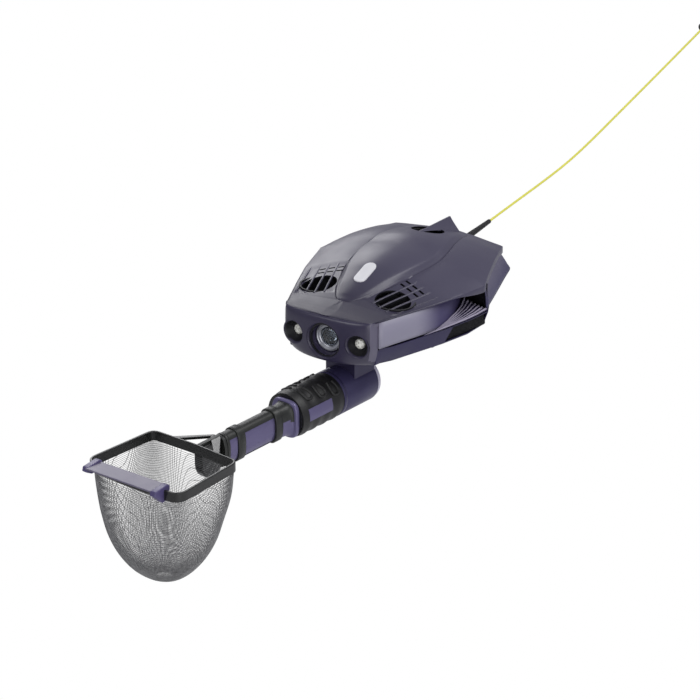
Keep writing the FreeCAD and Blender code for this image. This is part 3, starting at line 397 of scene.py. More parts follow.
def drill(x, y, z, radius, depth=20.0, steps=64):
    """Upright round bar, to cut a hole with."""
    bm = bmesh.new()
    bmesh.ops.create_cone(bm, cap_ends=True, segments=steps, radius1=radius, radius2=radius,
                          depth=depth)
    bmesh.ops.translate(bm, vec=(x, y, z), verts=bm.verts)
    return bm


def squircle(around, power):
    """Point of a rounded square one unit from its middle to a side; around is 0 to 1."""
    a = 2 * math.pi * around
    c, s = math.cos(a), math.sin(a)
    return math.copysign(abs(c) ** (2 / power), c), math.copysign(abs(s) ** (2 / power), s)


def curved_line(name, points, order, resolution):
    """Object with one smooth curve led by its points."""
    curve = bpy.data.curves.new(name, "CURVE")
    curve.dimensions = "3D"
    line = curve.splines.new("NURBS")
    line.points.add(len(points) - 1)
    for point, spot in zip(line.points, points):
        point.co = (*spot, 1.0)
    line.order_u = order
    line.use_endpoint_u = True
    line.resolution_u = resolution
    return placed(name, curve)


def skinned(sections, capped=()):
    """Skin over rings of points: the rings named in capped are closed, or the ends joined."""
    bm = bmesh.new()
    rings = []
    for points in sections:
        verts = [bm.verts.new(point) for point in points]
        rings.append([bm.edges.new(pair) for pair in zip(verts, verts[1:] + verts[:1])])
    for low, high in zip(rings, rings[1:]):
        bmesh.ops.bridge_loops(bm, edges=low + high)
    for index in capped:
        bmesh.ops.holes_fill(bm, edges=rings[index])
    if not capped:
        bmesh.ops.bridge_loops(bm, edges=rings[-1] + rings[0])
    return bm


def spun(profile, steps=96):
    """Turned form about the Y axis from (radius, place along Y) points."""
    bm = bmesh.new()
    verts = [bm.verts.new((r, y, 0.0)) for r, y in profile]
    edges = [bm.edges.new(pair) for pair in zip(verts, verts[1:])]
    bmesh.ops.spin(bm, geom=verts + edges, cent=(0, 0, 0), axis=(0, 1, 0),
                   angle=2 * math.pi, steps=steps, use_merge=True)
    return bm


def slab(outline, low, high):
    """Flat outline in X and Y, standing from low to high."""
    bm = bmesh.new()
    base = bm.faces.new([bm.verts.new((x, y, low)) for x, y in outline])
    raised = bmesh.ops.extrude_face_region(bm, geom=[base])
    bmesh.ops.translate(bm, vec=(0, 0, high - low), verts=new_verts(raised))
    return bm


def joined(*parts):
    """One bmesh from several."""
    whole = bmesh.new()
    for part in parts:
        mesh = bpy.data.meshes.new("part")
        part.to_mesh(mesh)
        part.free()
        whole.from_mesh(mesh)
        bpy.data.meshes.remove(mesh)
    return whole


def moved(bm, matrix):
    bmesh.ops.transform(bm, matrix=matrix, verts=bm.verts)
    return bm


def on_side(bm, side):
    """A piece made for the right side, mirrored for the left where side is -1."""
    bmesh.ops.scale(bm, vec=(side, 1, 1), verts=bm.verts)
    return bm


def carve(obj, cutter):
    """Cuts a bmesh, in millimetres, out of a finished piece."""
    bmesh.ops.recalc_face_normals(cutter, faces=cutter.faces)
    bmesh.ops.scale(cutter, vec=(MM, MM, MM), verts=cutter.verts)
    mesh = bpy.data.meshes.new("cutter")
    cutter.to_mesh(mesh)
    cutter.free()
    tool = placed("cutter", mesh)
    cut = obj.modifiers.new("cut", "BOOLEAN")
    cut.operation = "DIFFERENCE"
    cut.solver = "EXACT"
    cut.object = tool
    fixed(obj)
    bpy.data.objects.remove(tool)
    bpy.data.meshes.remove(mesh)
    obj.data.set_sharp_from_angle(angle=math.radians(40))


def lerp(a, b, t):
    return a + (b - a) * t


def ramp(value, low, high):
    """0 up to low, 1 from high, and a smooth rise between."""
    t = min(1.0, max(0.0, (value - low) / (high - low)))
    return t * t * (3 - 2 * t)


def reading(table, at, column):
    """Value of a column of a table at a place between its rows, straight runs."""
    if at <= table[0][0]:
        return table[0][column]
    for low, high in zip(table, table[1:]):
        if at <= high[0]:
            return lerp(low[column], high[column], (at - low[0]) / (high[0] - low[0]))
    return table[-1][column]


def eased(table, at, column):
    """The same with a smooth curve through the rows."""
    if at <= table[0][0]:
        return table[0][column]
    rows = [table[0]] + table + [table[-1]]
    for before, low, high, after in zip(rows, rows[1:], rows[2:], rows[3:]):
        if at <= high[0]:
            width = high[0] - low[0]
            leaving = (high[column] - before[column]) / (high[0] - before[0])
            reaching = (after[column] - low[column]) / (after[0] - low[0])
            t = (at - low[0]) / width
            return (lerp(low[column], high[column], t * t * (3 - 2 * t))
                    + width * t * (t - 1) * (leaving * (t - 1) + reaching * t))
    return table[-1][column]


SIDES = ((-1, "left"), (1, "right"))


# ---------------------------------------------------------------- camera, light

def camera():
    """Long lens 3 m away, to the right of the nose and above it."""
    turn, tilt = math.radians(31.2), math.radians(24.1)
    ahead = Vector((-math.sin(turn) * math.cos(tilt), math.cos(turn) * math.cos(tilt),
                    -math.sin(tilt)))
    side = Vector((math.cos(turn), math.sin(turn), 0.0))
    up = side.cross(ahead)
    data = bpy.data.cameras.new("camera")
    data.lens = 156.9
    data.sensor_width = 36.0
    data.clip_end = 20.0
    obj = placed("camera", data)
    frame_of_view = Matrix((side, up, -ahead)).transposed().to_4x4()
    away, aside, above = -3.0, -0.04041, -0.07571
    spot = ahead * away + side * aside + up * above
    obj.matrix_world = Matrix.Translation(spot) @ frame_of_view
    bpy.context.scene.camera = obj


def lamp(name, spot, aim, size, power):
    data = bpy.data.lights.new(name, "AREA")
    data.shape = "DISK"
    data.size = size
    data.energy = power
    obj = placed(name, data)
    spot = Vector(spot)
    turn = (Vector(aim) - spot).to_track_quat("-Z", "Y").to_matrix().to_4x4()
    obj.matrix_world = Matrix.Translation(spot) @ turn


def plain_to_camera(tree, lit, plain):
    """Shows the camera the plain shader and every other ray the lit one."""
    seen = tree.node("ShaderNodeLightPath", output="Is Camera Ray")
    return tree.node("ShaderNodeMixShader", {}, {0: seen, 1: lit, 2: plain})


def studio():
    """Soft studio light from above and behind, weaker from the front."""
    lamp("key", (1.2, 0.5, 1.9), (0, -0.05, 0), 1.5, 27.0)
    lamp("front", (-0.5, -1.7, 1.4), (0, -0.1, 0), 1.2, 11.0)
    lamp("side", (2.0, -1.5, 0.25), (0, -0.1, -0.02), 2.2, 20.0)
    lamp("rim", (-1.9, 1.6, 1.0), (0, 0, 0), 1.4, 16.0)
    world = bpy.data.worlds.new("surround")
    world.use_nodes = True
    tree = Tree(world.node_tree)
    tree.nodes.clear()
    soft = tree.node("ShaderNodeBackground", {}, {"Color": (0.90, 0.90, 1.0), "Strength": 0.36})
    white = tree.node("ShaderNodeBackground", {}, {"Color": (1.0, 1.0, 1.0), "Strength": 1.0})
    both = plain_to_camera(tree, soft, white)
    tree.feed(tree.nodes.new("ShaderNodeOutputWorld").inputs["Surface"], both)
    bpy.context.scene.world = world
    bpy.context.scene.view_settings.view_transform = "Standard"


def floor():
    """Floor that light meets as a pale surface and the camera sees as plain white."""
    bm = bmesh.new()
    bmesh.ops.create_grid(bm, x_segments=2, y_segments=2, size=9.0)
    bmesh.ops.translate(bm, vec=(0, 0, -0.75), verts=bm.verts)
    mesh = bpy.data.meshes.new("floor")
    bm.to_mesh(mesh)
    bm.free()
    f = Finish("white_floor")
    f.set(Base_Color=(0.8, 0.8, 0.8), Roughness=0.9)
    glow = f.node("ShaderNodeEmission", {}, {"Color": (1.0, 1.0, 1.0), "Strength": 1.0})
    both = plain_to_camera(f, Signal(f, f.shader.outputs[0]), glow)
    f.feed(f.nodes["Material Output"].inputs["Surface"], both)
    mesh.materials.append(f.material)
    obj = placed("floor", mesh)


# ---------------------------------------------------------------------- tether

def tether():
    """Taut tether from the strain relief to its plug at the surface end."""
    start_y, high = 201.0, -15.5
    steps = [(0, 2.1), (58, 4.7), (116, 6.9), (172, 10.3), (224, 17.4), (276, 26.6),
             (334, 36.9), (392, 47.3), (450, 57.9), (508, 68.6)]
    path = [(0.0, (start_y + a) * MM, (high + b) * MM) for a, b in steps]
    obj = curved_line("tether_cord", path, 3, 12)
    obj.data.bevel_depth = 1.25 * MM
    obj.data.bevel_resolution = 4
    obj.data.use_fill_caps = True
    obj.data.materials.append(TETHER)
    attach(obj, "hull")
    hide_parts("tether")


def strain_relief():
    """Tapered rubber sleeve with shallow rings."""
    length, rings, groove = 71.3, 13, 0.22
    pitch = length / rings
    profile = [(0.0, -length)]
    for k in range(rings):
        wide = lerp(3.85, 2.25, k / rings)
        y = k * pitch - length
        profile += [(wide, y + 0.2), (wide, y + pitch * 0.72),
                    (wide - groove, y + pitch * 0.8), (wide - groove, y + pitch * 0.96)]
    profile += [(2.15, -0.6), (1.7, 0.0), (0.0, 0.0)]
    bm = spun(profile, 40)
    aim = Vector((0, 71.5, 2.1)).normalized()
    turn = Vector((0, 1, 0)).rotation_difference(aim).to_matrix().to_4x4()
    piece("relief_sleeve", bm, RUBBER, "hull", ("strain_relief",),
          Matrix.Translation((0, 201, -13.4)) @ turn)


# ------------------------------------------------------------------ deck shell

# along, rim, foot, foot height, shoulder, shoulder height, crown
DECK = [
    (-124.7, 6.0, 2.0, 1.0, 1.0, 1.0, 1.0), (-124.0, 16.0, 3.0, 1.1, 1.5, 1.1, 1.1),
    (-123.0, 24.0, 4.0, 1.2, 2.0, 1.2, 1.2), (-121.5, 33.0, 5.0, 1.3, 3.0, 1.3, 1.3),
    (-119.6, 41.6, 6.0, 1.4, 3.0, 1.4, 1.4), (-118.0, 46.0, 6.0, 1.5, 3.0, 1.5, 1.5),
    (-114.0, 49.4, 6.0, 1.8, 3.0, 1.8, 1.8), (-110.0, 51.0, 6.0, 2.1, 3.0, 2.1, 2.1),
    (-93.0, 57.5, 2.0, 4.2, 1.0, 4.2, 4.2), (-91.0, 58.2, 6.5, 4.4, 3.5, 4.9, 5.2),
    (-87.0, 59.8, 10.5, 4.9, 6.5, 5.8, 6.4), (-80.0, 62.4, 15.0, 5.9, 10.0, 7.6, 9.2),
    (-68.0, 67.0, 21.0, 7.6, 15.0, 10.6, 13.0), (-50.0, 73.5, 28.0, 9.4, 21.0, 14.4, 18.2),
    (-32.0, 80.0, 34.0, 11.2, 28.0, 17.4, 23.0), (0.0, 89.0, 40.0, 13.4, 35.0, 19.6, 26.2),
    (20.0, 94.0, 42.0, 14.0, 36.0, 19.6, 25.6), (40.0, 87.0, 41.0, 13.0, 35.0, 18.0, 23.8),
    (62.0, 80.0, 36.0, 11.0, 30.0, 15.0, 19.0), (95.0, 69.0, 28.0, 7.0, 22.0, 9.4, 10.8),
    (115.0, 62.0, 22.0, 3.4, 16.0, 4.6, 5.0), (122.0, 36.0, 18.0, 2.4, 12.0, 3.2, 3.2),
    (127.0, 6.0, 3.0, 1.4, 2.0, 1.7, 1.8),
]
DECK_FRONT, DECK_STERN = -124.7, 127.0
NOSE_SEAM = -110.2
GROOVE_COLUMN, GROOVE_DEEP = 20, 0.8
REAR_DUCT = (0.0, 72.0)
VENT, VENT_RADIUS = (41.6, -67.2), 17.6
VENT_PITCH, BAR_WIDE = 9.4, 2.2
LEAN = math.radians(17.5)
SLOT_ROWS = (25.1, 32.6)


def vent_place(x, y):
    """Place along and across a front vent's bars."""
    dx, dy = abs(x) - VENT[0], y - VENT[1]
    return (dx * math.sin(LEAN) + dy * math.cos(LEAN), dx * math.cos(LEAN) - dy * math.sin(LEAN))


# along, how far the rim is lifted
RIM_LIFT = [(-128.0, 0.0), (-20.0, 0.0), (18.0, 0.0), (40.0, 3.4), (62.0, 5.4), (88.0, 4.8),
            (108.0, 2.2), (127.0, 0.6)]


def deck_height(x, y):
    """Height of the deck: slope from rim to foot, flank up to the shoulder, then the crown."""
    rim = reading(DECK, y, 1)
    foot, foot_high = eased(DECK, y, 2), eased(DECK, y, 3)
    shoulder, shoulder_high = eased(DECK, y, 4), eased(DECK, y, 5)
    crown = eased(DECK, y, 6)
    across = abs(x)
    if across >= foot:
        t = max(0.0, (rim - across) / max(1.0, rim - foot))
        crown_out = 1.25 + 0.6 * ramp(y, -60.0, 15.0)
        high = foot_high * t * (crown_out - (crown_out - 1) * t)
    elif across >= shoulder:
        t = (foot - across) / max(0.5, foot - shoulder)
        high = lerp(foot_high, shoulder_high, 0.45 * t + 0.55 * t * t * (3 - 2 * t))
    else:
        t = 1 - across / max(0.5, shoulder)
        high = shoulder_high + (crown - shoulder_high) * t * (1.9 - 0.9 * t)
    p, q = vent_place(x, y)
    sunk = ramp(p, -19.8, -18.8) * (1 - ramp(p, 34.0, 46.0)) * ramp(q, -19.6, -18.6)
    sunk *= 1 - ramp(q, 17.0, 21.0)
    return high - 1.0 * sunk + eased(RIM_LIFT, y, 1)


def deck_columns(y):
    """Places across the deck of a row's points, closest at the crown's foot."""
    rim = reading(DECK, y, 1)
    foot, shoulder = eased(DECK, y, 2), eased(DECK, y, 4)
    half = [shoulder * k / 12.0 for k in range(12)]
    half += [lerp(shoulder, foot - 0.7, k / 7.0) for k in range(8)]
    half += [foot, foot + 0.7]
    start = foot + 0.7
    half += [lerp(start, rim, k / 30.0) for k in range(1, 31)]
    return [-x for x in reversed(half[1:])] + half


def deck_rows():
    """Places along the deck of its rows of points, closest at the crown's tip."""
    rows, y = [], DECK_FRONT
    while y < DECK_STERN:
        rows.append(y)
        y += 0.7 if y < -84 else (1.6 if y < 105 else 1.2)
    return rows + [DECK_STERN]


def deck_row(y):
    """Points of the deck's surface across y, with the groove round the crown."""
    columns = deck_columns(y)
    points = [[x, y, deck_height(x, y)] for x in columns]
    if -92.5 < y < 112:
        for side, _ in SIDES:
            points[len(columns) // 2 + side * GROOVE_COLUMN][2] -= GROOVE_DEEP
    return points


def deck():
    """Upper shell with its rolled rim, the front vents and the rear outlet."""
    bm = lofted([deck_row(y) for y in deck_rows()])
    for _ in range(2):
        crown = [v for v in bm.verts
                 if not v.is_boundary and abs(v.co.x) < reading(DECK, v.co.y, 4)]
        bmesh.ops.smooth_vert(bm, verts=crown, factor=0.5, use_axis_x=False, use_axis_y=False,
                              use_axis_z=True)
    rim = border(bm)
    for drop, grow, drop_ahead in ((0.9, 0.5, 3.0), (3.4, 0.1, 0.5), (0.3, -0.5, 0.5)):
        made = bmesh.ops.extrude_edge_only(bm, edges=rim)
        rim = new_edges(made)
        for vert in new_verts(made):
            if vert.co.y < NOSE_SEAM - 0.3:
                vert.co.z -= drop_ahead
                continue
            vert.co.z -= drop * (0.3 + 1.3 * ramp(vert.co.y, -30.0, 26.0))
            reach = math.hypot(vert.co.x, vert.co.y * 0.6)
            vert.co.x += grow * vert.co.x / reach * 0.6
            vert.co.y += grow * vert.co.y * 0.3 / reach
    obj = piece("deck_shell", bm, [SHELL_PAINTED_SHADE, SIDE_PAINTED_LIGHT_AND_SHADE, INSIDE_PAINTED_SHADE], "hull", ("upper_shell",))
    walled(obj, 2.0)
    outlet = drill(*REAR_DUCT, 10, 16.8, depth=60)
    carve(obj, joined(*vent_openings(-1), *vent_openings(1), outlet))
    # painted shade: the upright walls of the vents and of the rear outlet take the near-black
    # finish
    for polygon in obj.data.polygons:
        x, y, _ = polygon.center / MM
        along, across = vent_place(x, y)
        by_vent = -19 < along < 36 and abs(across) < 19
        by_outlet = math.hypot(x - REAR_DUCT[0], y - REAR_DUCT[1]) < 18
        if abs(polygon.normal.z) < 0.4 and (by_vent or by_outlet):
            polygon.material_index = 2


def vent_frame(side):
    """Place and turn of a front vent, its bars along Y."""
    return (Matrix.Translation((side * VENT[0], VENT[1], 0))
            @ Matrix.Rotation(-side * LEAN, 4, "Z"))


def vent_openings(side):
    """Cutters: a round vent split by three bars, and two rows of slots behind it."""
    cutters = []
    for k in range(4):
        low = (k - 2) * VENT_PITCH + BAR_WIDE / 2
        high = (k - 1) * VENT_PITCH - BAR_WIDE / 2
        disc = drill(0, 0, 0, VENT_RADIUS, depth=50, steps=72)
        for at, way in ((low, -1), (high, 1)):
            bmesh.ops.bisect_plane(disc, geom=disc.verts[:] + disc.edges[:] + disc.faces[:],
                                   plane_co=(at, 0, 0), plane_no=(way, 0, 0), clear_outer=True)
            bmesh.ops.holes_fill(disc, edges=border(disc))
        cutters.append(disc)
        outermost = 3 if side > 0 else 0
        if k != outermost:
            cutters += [vent_slot((low + high) / 2, along) for along in SLOT_ROWS]
    return [moved(cutter, vent_frame(side)) for cutter in cutters]


def vent_slot(across, along):
    return block(lambda u, v, w: (across + (u - 0.5) * 6.4, along + (v - 0.5) * 2.5,
                                  (w - 0.5) * 50.0))


def deck_bars():
    """Thin raised ribs along the vent bars that carry on between the slots."""
    for side, word in SIDES:
        bars = [vent_bar(vent_frame(side), k) for k in range(-2, 3)]
        piece("vent_bars_" + word, joined(*bars), SHELL_PAINTED_SHADE, "hull", ("vent_grille_" + word,),
              smooth=60)


def vent_bar(place, k):
    """One rib, k pitches from the vent's middle, lying on the deck."""
    half_wide, start = 0.6, -12.0
    if abs(k) < 2:
        half_wide, start = 1.05, -1.5 - math.sqrt(19.0 ** 2 - (k * VENT_PITCH) ** 2)

    def swelling(u, v):
        across = 2 * u - 1
        return (k * VENT_PITCH + across * half_wide, lerp(start, 43.0, v),
                0.5 * (1 - across * across) * min(1.0, (1 - v) * 6))

    bar = moved(grid(4, 50, swelling), place)
    for vert in bar.verts:
        vert.co.z = deck_height(vert.co.x, vert.co.y) + vert.co.z + 0.05
    return closed_sheet(bar, lowered(1.1))


def badge():
    """Plain oval plate on the crown."""
    half_wide, half_long, centre = 6.5, 15.0, -50.0

    def on_deck(u, v):
        y = (2 * v - 1) * half_long
        over = max(0.0, abs(y) - (half_long - half_wide))
        x = (2 * u - 1) * math.sqrt(max(0.0, half_wide ** 2 - over ** 2))
        return (x, centre + y, deck_height(x, centre + y) + 1.0)

    plate = closed_sheet(grid(24, 40, on_deck), lowered(1.6))
    piece("badge_oval", plate, PALE, "hull", ("badge_plate",), bevel=0.3)


def fin():
    """Upright tail fin standing over the rear thruster's outlet."""
    def on_deck(u, t, h):
        y, top = lerp(53.0, 120.0, t), lerp(25.4, 20.6, t)
        half_wide = lerp(0.9, 10.0, min(1.0, t / 0.8)) * (1 - h) ** 1.15 + 0.7
        x = (2 * u - 1) * half_wide
        foot = min(deck_height(x, y), top) - 0.8
        return (x, y - 3.2 * h * t, lerp(foot, top, h))

    piece("fin_blade", block(on_deck, cuts=12), SHELL_PAINTED_SHADE, "hull", ("tail_fin",), bevel=0.3,
          smooth=50)


# ------------------------------------------------------------------ lower hull

# out to the side, along
LIP = [(50.6, -110.2), (52.0, -104.0), (58.8, -92.0), (67.8, -68.0), (74.5, -50.0),
       (81.0, -32.0), (90.0, 0.0), (95.0, 28.0), (86.5, 60.0), (77.0, 95.0), (70.0, 122.0),
       (36.0, 124.5), (6.0, 127.0)]


FRONT_DUCT = (43.8, -64.7)
SWIVEL = (0.0, -78.0)


def duct_holes(z, front, rear):
    """Cutters for the two front outlets and the rear one, of the radii given."""
    x, y = FRONT_DUCT
    return [drill(x, y, z, front), drill(-x, y, z, front), drill(*REAR_DUCT, z, rear)]


def belly():
    """Dark tub below the lip, its outlets and side windows cut out."""
    wall = [(x - (0.9 if y < 40 else 6.5), y - 7.0 * ramp(y, 90, 120)) for x, y in LIP]
    keel = [(x - (2.6 if y < 20 else 6.0 if y < 40 else 18.0), y - 12.0 * ramp(y, 60, 120))
            for x, y in LIP]
    wall[-1], keel[-1] = (6.0, 118.0), (3.0, 112.0)

    def ring(outline, z, inset=0.0, lift=0.0):
        full = [(x - inset, y) for x, y in outline]
        full += [(-x, y) for x, y in reversed(full)]
        return [(x, y, z + lift * ramp(y, 29, 45) * (4.4 + 3.2 * ramp(y, 60, 120)))
                for x, y in full]

    tub = skinned([ring(wall, -30.2, lift=1.0), ring(wall, -31.0, lift=1.0), ring(keel, -45.3),
                   ring(keel, -46.0, inset=0.8)], capped=(-1,))
    obj = piece("belly_tub", tub, [INDIGO, INSIDE_PAINTED_SHADE], "hull", ("lower_hull",))
    walled(obj, 1.4)
    carve(obj, joined(*duct_holes(-50, 19.2, 18.4), drill(*SWIVEL, -50, 6.2),
                      side_window(-1), side_window(1)))


def shelf():
    """Plate between deck and belly, its edge a thin light lip along each channel."""
    half = [(x, y) if y < 30 else (x - 7.5, y - 6.0 * ramp(y, 90, 120)) for x, y in LIP]
    half[0] = (48.0, NOSE_SEAM)
    outline = half + [(-x, y) for x, y in reversed(half)]
    obj = piece("shelf", slab(outline, -30.2, -28.0), RIB, "hull", ("shelf_plate",), bevel=0.3)
    carve(obj, joined(*duct_holes(-29, 18.8, 17.8)))


def rear_walls():
    """Slanting rear sides and stern, their lower edge rising to the back corners."""
    foot = [(93.6, 27.0, -27.6), (91.0, 36.0, -27.2), (86.2, 55.0, -26.2),
            (81.0, 75.0, -25.0), (75.6, 95.0, -23.9), (70.4, 116.0, -22.7),
            (68.2, 120.6, -22.5), (62.0, 122.2, -22.6), (36.0, 124.6, -24.0),
            (0.0, 126.4, -25.0)]
    foot += [(-x, y, z) for x, y, z in reversed(foot[:-1])]
    stern_start, levels = 121.0, 8

    def row(t):
        points = []
        for x, y, z in foot:
            top_x = x * 0.88
            if y <= stern_start:
                top_x = math.copysign(min(abs(x), reading(DECK, y, 1) - 1.0), x)
            top_y = y - 6.0 * ramp(y, 100, stern_start)
            top_z = eased(RIM_LIFT, min(y, 125.0), 1) - 1.2
            points.append((lerp(x, top_x, t ** 1.3), lerp(y, top_y, t ** 1.3),
                           lerp(z, top_z, t)))
        return points

    obj = piece("rear_wall", lofted([row(k / levels) for k in range(levels + 1)]), [FLANK],
                "hull", ("rear_shroud_left", "rear_shroud_right", "stern_panel"), smooth=30)
    walled(obj, 1.4)


def mouth_painted_shade():
    """Dark walls across the rear end of each side channel: painted shade."""
    def wall(side):
        return block(lambda u, v, w: (side * lerp(56.0, 92.0, u),
                                      lerp(42.0, 28.5, u) + v * 1.2, lerp(-27.6, -2.0, w)))

    piece("mouth_painted_shade", joined(wall(-1), wall(1)), INSIDE_PAINTED_SHADE, "hull")


def side_window(side):
    """Cutter for the slanting window below the lip."""
    return block(lambda u, v, w: (side * lerp(66.0, 104.0, u),
                                  lerp(lerp(-31.0, -22.0, w), 28.0, v),
                                  lerp(-44.4, -30.9, w)))


def belly_pips():
    """Small landing pips near the middle of the belly."""
    pips = []
    for side, _ in SIDES:
        pip = bmesh.new()
        bmesh.ops.create_uvsphere(pip, u_segments=20, v_segments=10, radius=1.0)
        bmesh.ops.scale(pip, vec=(4.4, 4.4, 3.6), verts=pip.verts)
        bmesh.ops.translate(pip, vec=(side * 68.0, -38.0, -46.2), verts=pip.verts)
        pips.append(pip)
    piece("belly_pips", joined(*pips), INDIGO, "hull", smooth=60)


def grille_strip(rows, start, end, low, high, inset):
    """Upright strip that follows the lip from start to end, inset from it."""
    lip = [(y, x) for x, y in LIP]

    def on_wall(u, v):
        y = lerp(start, end, u)
        return (reading(lip, y, 1) - inset, y, lerp(low, high, v))

    strip = grid(24, rows, on_wall)
    bmesh.ops.solidify(strip, geom=strip.faces[:], thickness=0.7)
    return strip


def side_grilles():
    """Black mesh panels set into the tub's side windows, with a near-black sheet behind the bars
    as painted shade.
    """
    half_high = 0.32
    for side, word in SIDES:
        strips = []
        for k in range(11):
            middle = lerp(-43.6, -31.2, k / 10.0)
            strips.append(grille_strip(1, -33.0, 29.5, middle - half_high, middle + half_high,
                                       4.6))
        # near-black sheet behind the bars: painted shade inside the hull
        strips.append(grille_strip(2, -34.0, 30.0, -44.2, -30.6, 6.0))
        piece("side_grille_" + word, on_side(joined(*strips), side), INSIDE_PAINTED_SHADE, "hull")


def channel_walls():
    """Inner wall of each side channel, curving in to the side thruster, with painted light at its
    front and painted shade behind.
    """
    path = [(50.6, -110.0), (56.4, -92.0), (65.4, -68.0), (71.9, -50.0),
            (74.9, -38.0), (76.2, -26.0), (76.2, -15.0), (74.4, -4.0), (71.0, 7.0),
            (66.4, 20.0), (60.5, 33.0), (50.0, 41.5), (35.0, 47.0)]
    for side, word in SIDES:
        line = curved_line("wall_line", [(x, y, 0.0) for x, y in path], 4, 6)
        curve, mesh = line.data, bpy.data.meshes.new_from_object(line)
        bm = bmesh.new()
        bm.from_mesh(mesh)
        bpy.data.objects.remove(line)
        bpy.data.curves.remove(curve)
        bpy.data.meshes.remove(mesh)
        bmesh.ops.translate(bm, vec=(0, 0, -28.0), verts=bm.verts)
        edges = bm.edges[:]
        for lift, out in ((3.0, -1.2), (5.0, -0.9), (18.6, 0.0)):
            made = bmesh.ops.extrude_edge_only(bm, edges=edges)
            edges = new_edges(made)
            for vert in new_verts(made):
                vert.co.z += lift
                vert.co.x += out * ramp(vert.co.y, -70.0, -30.0)
        obj = piece("channel_wall_" + word, on_side(bm, side), SIDE_PAINTED_LIGHT_AND_SHADE, "hull",
                    ("side_wall_" + word,), smooth=60)
        walled(obj, 1.6, offset=side)


# step along, foot across and along, outer edge across and along
CHANNEL = [(0, 72.0, -60.0, 72.4, -60.0), (1, 76.6, -42.0, 78.6, -42.0),
           (2, 77.6, -24.0, 84.0, -24.0), (3, 76.2, -6.0, 89.0, -6.0),
           (4, 71.5, 12.0, 92.2, 10.0), (5, 64.0, 30.0, 94.2, 27.0)]


def channel_strip(columns, middle, half_wide, swell):
    """Strip along a channel's floor, its middle and half width as shares of the floor's."""
    def on_floor(u, v):
        across, step = 2 * u - 1, 5.0 * v
        share = middle + across * half_wide
        bowl = 5.0 * (1 - share) ** 2 * ramp(step, 0.6, 3.0)
        lift = (1 - across * across) * swell * min(1.0, step / 1.4)
        return (lerp(reading(CHANNEL, step, 1), reading(CHANNEL, step, 3), share),
                lerp(reading(CHANNEL, step, 2), reading(CHANNEL, step, 4), share),
                bowl + lift - 27.8)

    return closed_sheet(grid(columns, 44, on_floor), lowered(0.4))


def channel_ribs():
    """Curved ribs over a dark liner, close together in front and fanning out behind."""
    count = 7
    for side, word in SIDES:
        liner = channel_strip(12, 0.5, 0.5, 0.0)
        piece("channel_liner_" + word, on_side(liner, side), DEEP, "hull", smooth=60)
        ribs = [channel_strip(6, (k + 0.5) / count, 0.042, 1.3) for k in range(count)]
        piece("channel_ribs_" + word, on_side(joined(*ribs), side), RIB, "hull",
              ("intake_ribs_" + word,), smooth=60)


# ------------------------------------------------------------------------ nose

CAMERA_HIGH, LAMP_HIGH, LAMP_OUT = -24.6, -24.2, 35.4


def nose():
    """Rounded nose cap round both corners, with recesses for camera and lamps."""
    full = [(0.0, -128.0), (9.0, -127.9), (18.0, -127.5), (27.0, -126.6), (34.0, -125.3),
            (40.0, -123.7), (44.5, -121.9), (47.3, -119.8), (48.7, -117.0), (49.7, -113.6),
            (50.8, -110.2)]
    crease = [(0.0, -125.2), (8.5, -124.9), (17.0, -124.5), (25.5, -123.4), (32.5, -122.1),
              (38.5, -121.0), (43.0, -119.8), (46.3, -118.4), (48.2, -116.3), (49.4, -113.4),
              (50.8, -110.2)]
    swept = [(0.0, -127.6), (8.5, -127.3), (17.0, -126.2), (25.0, -124.2), (31.0, -122.0),
             (35.8, -119.6), (39.4, -117.4), (42.0, -115.2), (43.8, -113.2), (45.4, -111.6),
             (47.0, -110.2)]

    def row(z, plan, inward=0.0):
        points = []
        for x, y in plan:
            pull = inward * min(1.0, (NOSE_SEAM - y) / 6.0)
            points.append((x * (1 - inward * 0.008), y + pull, z))
        return [(-x, y, z) for x, y, z in reversed(points[1:])] + points

    def between(first, last, t):
        return [(lerp(a[0], b[0], t), lerp(a[1], b[1], t)) for a, b in zip(first, last)]

    rows = [row(-4.0, crease, 2.0), row(0.1, crease, 0.5), row(0.3, crease),
            row(-0.3, between(crease, full, 0.5)), row(-2.2, between(crease, full, 0.85)),
            row(-5.0, full), row(-12.0, full, -0.15), row(-22.0, full, -0.3),
            row(-28.0, between(full, swept, 0.08), -0.2),
            row(-34.0, between(full, swept, 0.3)), row(-40.0, between(full, swept, 0.65)),
            row(-43.6, between(full, swept, 0.9), 0.4), row(-45.4, swept, 1.4),
            row(-46.2, swept, 3.4), [(x * 0.55, NOSE_SEAM, -46.2) for x, _, _ in row(0, swept)]]
    bm = lofted(rows)
    bmesh.ops.subdivide_edges(bm, edges=bm.edges, cuts=1, use_grid_fill=True, smooth=0.6)
    bmesh.ops.recalc_face_normals(bm, faces=bm.faces)
    if sum(f.normal.y for f in bm.faces) > 0:
        bmesh.ops.reverse_faces(bm, faces=bm.faces)
    bmesh.ops.scale(bm, vec=(MM, MM, MM), verts=bm.verts)
    obj = dressed("nose_cap", bm, [FACE, CORNER, INSIDE_PAINTED_SHADE], "hull", ("nose_face",), smooth=35)
    walled(obj, 1.6)
    holes = []
    for x, radius, high in ((0.0, 18.6, CAMERA_HIGH), (-LAMP_OUT, 12.0, LAMP_HIGH),
                            (LAMP_OUT, 12.0, LAMP_HIGH)):
        place = Matrix.Translation((x, -124, high)) @ Matrix.Rotation(math.pi / 2, 4, "X")
        holes.append(moved(drill(0, 0, 0, radius, depth=30, steps=96), place))
    carve(obj, joined(*holes))
    for polygon in obj.data.polygons:
        x, _, z = polygon.center / MM
        if abs(polygon.normal.x) > 0.72 and -44 < z < -0.5 and abs(x) > 44:
            polygon.material_index = 1
    rounded(obj, 1.0, 3, 50)


